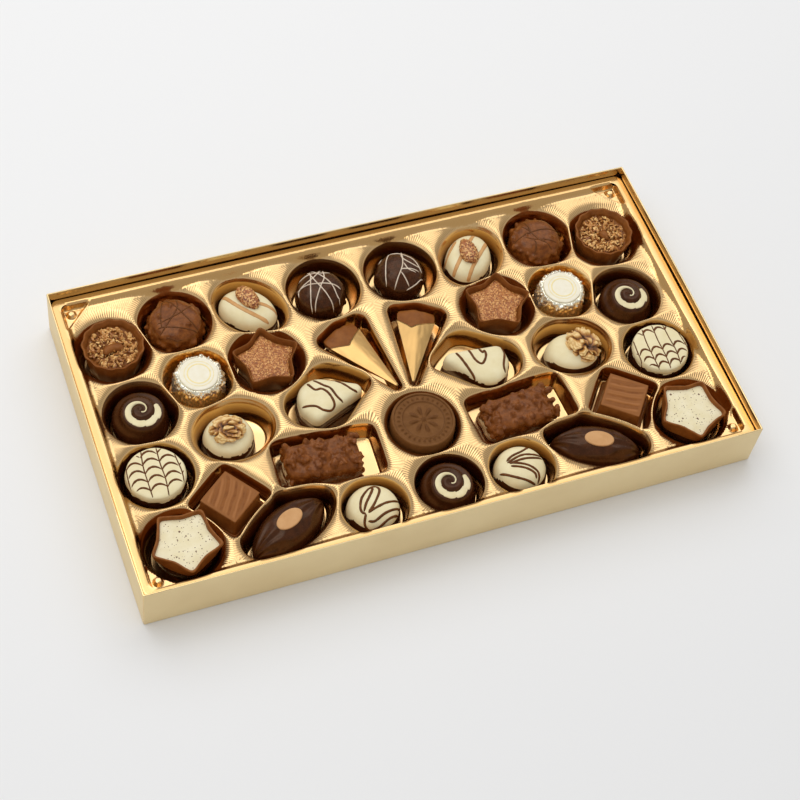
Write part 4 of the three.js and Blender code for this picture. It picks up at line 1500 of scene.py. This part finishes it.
def nut_bar(site):
    rnd = site.rnd
    core = moulded(soft_box(41.5, 22, 5, 80), [(0.02, 0), (0.92, 0), (1, 2.5), (0.98, 8), (0.86, 11.6), (0.5, 12.8),
                                               (0.02, 13)], 4, wobble(1.0, 7, site.seed))
    lumps = []
    for k in range(95):
        x = rnd.uniform(-20, 20)
        y = rnd.uniform(-10, 10)
        on_top = rnd.random() < 0.6
        if not on_top:
            y = math.copysign(rnd.uniform(9.0, 10.0), y)
        z = rnd.uniform(11.4, 12.6) - 2.6 * (abs(y) / 10.4) ** 4 if on_top else rnd.uniform(2.5, 11)
        size = rnd.uniform(1.3, 2.4)
        lumps.append(lump((x, y, z + 0.5), (size * rnd.uniform(1, 1.6), size, size * 0.9), rnd, 2, 0.4))
    for k in range(14):
        y = rnd.uniform(-9, 9)
        size = rnd.uniform(1.3, 2.2)
        lumps.append(lump((math.copysign(20.0, k % 2 - 0.5), y, rnd.uniform(2, 11)), (size, size, size * 0.8), rnd, 2))
    for k in range(6):
        x = rnd.uniform(8, 17)
        y = rnd.uniform(-6, 8)
        turn = Matrix.Rotation(rnd.uniform(-0.6, 0.6) + math.pi / 2, 3, "Z")
        lumps.append(([turn @ Vector((p.x * 3.6, p.y * 1.0, p.z * 0.8)) + Vector((x, y, 13.1)) for p in ball(2)[0]],
                      ball(2)[1]))
    shape = fused(merged(core, *lumps), 0.5, 2)
    shape = displaced(shape, lambda p: 0.1 * noise.noise(p / 1.1))
    site.body(shape, MILK_COATING, "milk_chocolate")


def medallion(site):
    """Round milk disc with a raised rim, a ring of beads and a plain rosette."""
    def raised(p):
        r = math.hypot(p.x, p.y)
        angle = math.atan2(p.y, p.x)
        beads = max(0, math.cos(30 * angle)) * math.exp(-((r - 13.6) / 0.9) ** 2)
        ring = 0.8 * math.exp(-((r - 11.7) / 0.35) ** 2)
        petals = max(0, math.cos(8 * angle)) ** 0.6 * math.exp(-((r - 5.6) / 2.9) ** 2)
        heart = math.exp(-(r / 1.5) ** 2)
        return beads + ring + petals + heart

    def relief(p, angle, share):
        if p.z < 12.4:
            return p
        return p + UP * 0.9 * raised(p)
    shape = moulded(ellipse(17.8, 17.8, 216), [(0.02, 0), (0.93, 0), (0.985, 0.7), (1, 2.6), (1, 8), (0.99, 11.6),
                                              (0.975, 13.0), (0.95, 13.5), (0.91, 13.5), (0.89, 13.0), (0.87, 12.8),
                                              (0.6, 12.9), (0.3, 13.0), (0.02, 13.1)], 10, relief)
    site.body(shape, MEDAL, "milk_chocolate", second=(
        MEDAL_MARK, lambda p: p.z > 12.4 and math.hypot(p.x, p.y) < 15 and raised(p) > 0.4))


def pleated_almond(site):
    def relief(p, angle, share):
        if p.z < 3:
            return p
        reach = 26.5 - abs(p.x)
        fan = math.atan2(p.y, max(reach, 0.5))
        fade = ease((abs(p.x) - 5) / 6) * ease((p.z - 3) / 5)
        ridge = 0.5 * math.sin(fan * 17) * fade
        return p + UP * ridge + Vector((0, math.copysign(0.3 * ridge, p.y), 0))
    shape = moulded(leaf(50, 26, 160), [(0.02, 0), (0.92, 0), (0.985, 0.8), (1, 3), (0.97, 6.6), (0.86, 10.4),
                                       (0.64, 13.6), (0.36, 15.2), (0.1, 15.7), (0.02, 15.7)], 6, relief)
    site.body(shape, DARK, "dark_chocolate")
    inlay = moulded(ellipse(8.2, 4.9, 64), [(1, 14.0), (1, 15.0), (0.96, 15.75), (0.85, 15.95), (0.4, 16.05), (0.02, 16.05)], 4)
    site.add("_inlay", moved(inlay, 0.5, 0.6 if site.left else 0.2), INLAY, "white_chocolate")


def drizzled_round(site):
    shape = ivory_dome(site, ellipse(14.8, 14.8), 15.3, 1.8, 10.3)
    if site.left:
        lines = [[(-6.5, -4.5), (-8, -3), (-8, 0), (-5.5, 5), (-1, 9), (1, 10), (2, 9), (-1, 5), (-4.5, 1), (-7, -3)],
                 [(1, 10.5), (4.5, 10), (5, 6.5), (0, 0), (-5, -4.5)], [(-5, -4.5), (-2.5, -3.5), (5.5, -1.5), (13.5, -1)],
                 [(-6.5, -8.5), (-3, -9.5), (3.5, -7), (10.5, -5.5), (13, -5.5)],
                 [(-6.5, -4.5), (-8.5, -9), (-6.5, -12), (-1.5, -12.5), (5, -10), (10.5, -8.5)]]
    else:
        lines = [[(-7.5, 4), (-4, 6), (2.5, 7.5), (8, 10)], [(-7.5, 3), (1.5, 5), (8, 4), (12.5, 2.5)],
                 [(-6.5, 2), (2, 2.5), (12.5, 1)], [(-7, 3), (1.5, -1), (6, -5.5), (6.5, -9), (4.5, -12.5)],
                 [(-6.5, 0.5), (0.5, -3), (4.5, -7), (4.5, -10)], [(-13, -1), (-7, -6), (-1.5, -9.5), (3, -12.5)]]
    lines_on(site, "_lines", shape, lines, BROWN_LINE, "dark_chocolate", 1.45, 0.42)


# Layout. Pocket: middle, lip outline, turn, floor height and draft, for the right half; the left half mirrors it.
# left and right say where each praline lies, as (x, y, turn), with its length and width where the two differ.

PAIRS = [
    ("nut_cup", nut_cup, (147.6, 57.4), ellipse(20.4, 20.4), 0, 6.5, 4.2, (-147.6, 58.6, 0), (147, 58.4, 11)),
    ("nut_dome", nut_dome, (109.7, 67.1), ellipse(20.6, 20.6), 0, 5, 3.4, (-110.2, 67, 0), (107.8, 66.8, 40)),
    ("pecan_oval", pecan_oval, (66.8, 65.9), ellipse(22.6, 18), 48, 7, 3.6, (-68, 66.6, -42), (66, 67.4, 54)),
    ("ball_truffle", ball_truffle, (23.3, 66.4), ellipse(21.2, 21.2), 0, 2, 4.2, (-26, 64.8, 0), (22.2, 65, 30)),
    ("swirl_dome", swirl_dome, (143.9, 15), ellipse(20.4, 20.4), 0, 5, 3.6, (-144.4, 15.8, 0), (144.4, 14.6, 0)),
    ("foil_cap", foil_cap, (108.1, 27.7), ellipse(19.3, 19.3), 0, 5.4, 3.0, (-108.2, 28.4, 0), (107.9, 28.1, 7)),
    ("nut_star", nut_star, (69, 28.6), ellipse(21, 21), 0, 7, 4.6, (-69.5, 28.1, 13), (68, 29.1, 0)),
    ("feather_disc", feather_disc, (146.4, -24.9), ellipse(20.3, 20.3), 0, 6, 2.8, (-147.4, -24.6, 0),
     (146.6, -25.4, 0)),
    ("walnut_dome", walnut_dome, (99.3, -9.1), ellipse(23.2, 19.2), -8, 6.5, 4.6, (-102.8, -9.3, 0, 28.4, 28),
     (99.5, -10.6, -10, 32.4, 26.4)),
    ("halfmoon", halfmoon, (0, 0.7), round_circles([(47, -12, 12.5), (55, -6.5, 14.5), (40, 5, 13), (25.5, 1.4, 8)]), 0,
     7.8, DRAFT, (-43.2, -4.3, 205), (44, -2.8, -3)),
    ("speckled_star", speckled_star, (145.3, -68.7), ellipse(21.6, 21.6), 0, 6.2, 4.8, (-144.4, -68.8, 49),
     (144.6, -69.6, 46)),
    ("bevelled_square", bevelled_square, (113.8, -50.2), soft_box(34.8, 34.8, 7), -38, 9.5, 1.6, (-114.6, -49.4, 37.5),
     (113.2, -49.6, -38)),
    ("nut_bar", nut_bar, (56.1, -39.4), soft_box(59.5, 33, 8), 3.5, 9.3, DRAFT, (-59.6, -38.8, -5), (53.4, -40, 4)),
    ("pleated_almond", pleated_almond, (88.6, -70.2), ellipse(30, 17.4), -24, 6, 3.6, (-89, -71, 26), (88, -71.2, -23)),
    ("drizzled_round", drizzled_round, (42.2, -74.8), ellipse(18.7, 17.8), 0, 7, 2, (-43.2, -74.4, 0),
     (41.4, -74.2, 0)),
    ("cornet", cornet, (4.15, -9.8), round_circles([(3, 0, 3), (49, -11, 6), (45, 0, 12), (49, 11, 6)]), 68.2, 7, DRAFT,
     (-5.8, -8, 113), (3.2, -8, 67.5)),
]
SINGLES = [
    ("medallion", medallion, (0, -33.9), ellipse(20.2, 20.2), 0, 10, 1.8, (-0.7, -33.6, 0)),
    ("swirl_dome_middle", swirl_dome, (0.65, -73.1), ellipse(19.2, 18.0), 0, 5, 2, (0, -73, 0)),
]
PECAN_AT = {"left": (-1.8, 3.2, -26), "right": (-0.2, 0.9, 34)}
WALNUT_AT = {"left": ((-0.4, 0.4, 3), 19, 16), "right": ((5.2, 0.9, -65), 22.5, 17.5)}


def make_pralines():
    for k, (name, maker, _, _, _, floor, _, left, right) in enumerate(PAIRS):
        for side, place in (("left", left), ("right", right)):
            site = Site(f"{name}_{side}", place, floor + GAP, 10 + 2 * k + (side == "right"))
            maker(site)
            if name == "pecan_oval":
                candied_nut(site, PECAN_AT[side])
            if name == "walnut_dome":
                walnut_half(site, *WALNUT_AT[side])
    for k, (name, maker, _, _, _, floor, _, place) in enumerate(SINGLES):
        maker(Site(name, place, floor + GAP, 80 + k))


def make_pockets():
    pockets = []
    for _, _, at, lip, turn, floor, draft, *_ in PAIRS:
        pockets.append(Pocket(at, lip, turn, floor, draft, False))
        pockets.append(Pocket(at, lip, turn, floor, draft, True))
    for _, _, at, lip, turn, floor, draft, *_ in SINGLES:
        pockets.append(Pocket(at, lip, turn, floor, draft, False))
    rings = [pocket.flattened(pockets) for pocket in pockets]
    for pocket, ring in zip(pockets, rings):
        pocket.set_ring(ring)
    return pockets


# Camera, floor and lights

def make_camera():
    data = bpy.data.cameras.new("camera")
    data.lens = CAMERA_LENS
    data.sensor_width = 36
    data.clip_start = 0.01
    camera = bpy.data.objects.new("camera", data)
    bpy.context.scene.collection.objects.link(camera)
    camera.location = CAMERA_AT * MM
    look = (CAMERA_AIM - CAMERA_AT).to_track_quat("-Z", "Y")
    camera.rotation_mode = "QUATERNION"
    camera.rotation_quaternion = look @ Quaternion((0, 0, 1), CAMERA_ROLL)
    bpy.context.scene.camera = camera


def make_floor():
    bpy.ops.mesh.primitive_plane_add(size=6, location=(0, 0, -0.0002))
    floor = bpy.context.object
    floor.name = "floor"
    look = Look("floor", Roughness=0.7)
    look.shader.inputs["Base Color"].default_value = (0.86, 0.86, 0.86, 1)
    floor.data.materials.append(look.material)


def make_light(name, at, aim, size, power, colour=(1, 1, 1)):
    data = bpy.data.lights.new(name, "AREA")
    data.shape = "RECTANGLE"
    data.size, data.size_y = size
    data.energy = power
    data.color = colour
    light = bpy.data.objects.new(name, data)
    bpy.context.scene.collection.objects.link(light)
    light.location = at
    light.rotation_mode = "QUATERNION"
    light.rotation_quaternion = (Vector(aim) - Vector(at)).to_track_quat("-Z", "Y")


def make_lights():
    make_light("softbox", (0.3, 1.05, 1.4), (0, 0, 0), (2.4, 1.35), 11.6)
    make_light("key", (-0.5, 0.25, 1.5), (0, 0, 0), (1.1, 1.1), 6.5)
    world = bpy.context.scene.world or bpy.data.worlds.new("world")
    bpy.context.scene.world = world
    world.use_nodes = True
    back = world.node_tree.nodes["Background"]
    back.inputs["Color"].default_value = (1, 1, 1, 1)
    back.inputs["Strength"].default_value = 0.56
    bpy.context.scene.view_settings.view_transform = "Standard"


make_camera()
make_floor()
make_lights()
make_box()
make_tray(make_pockets())
make_pralines()
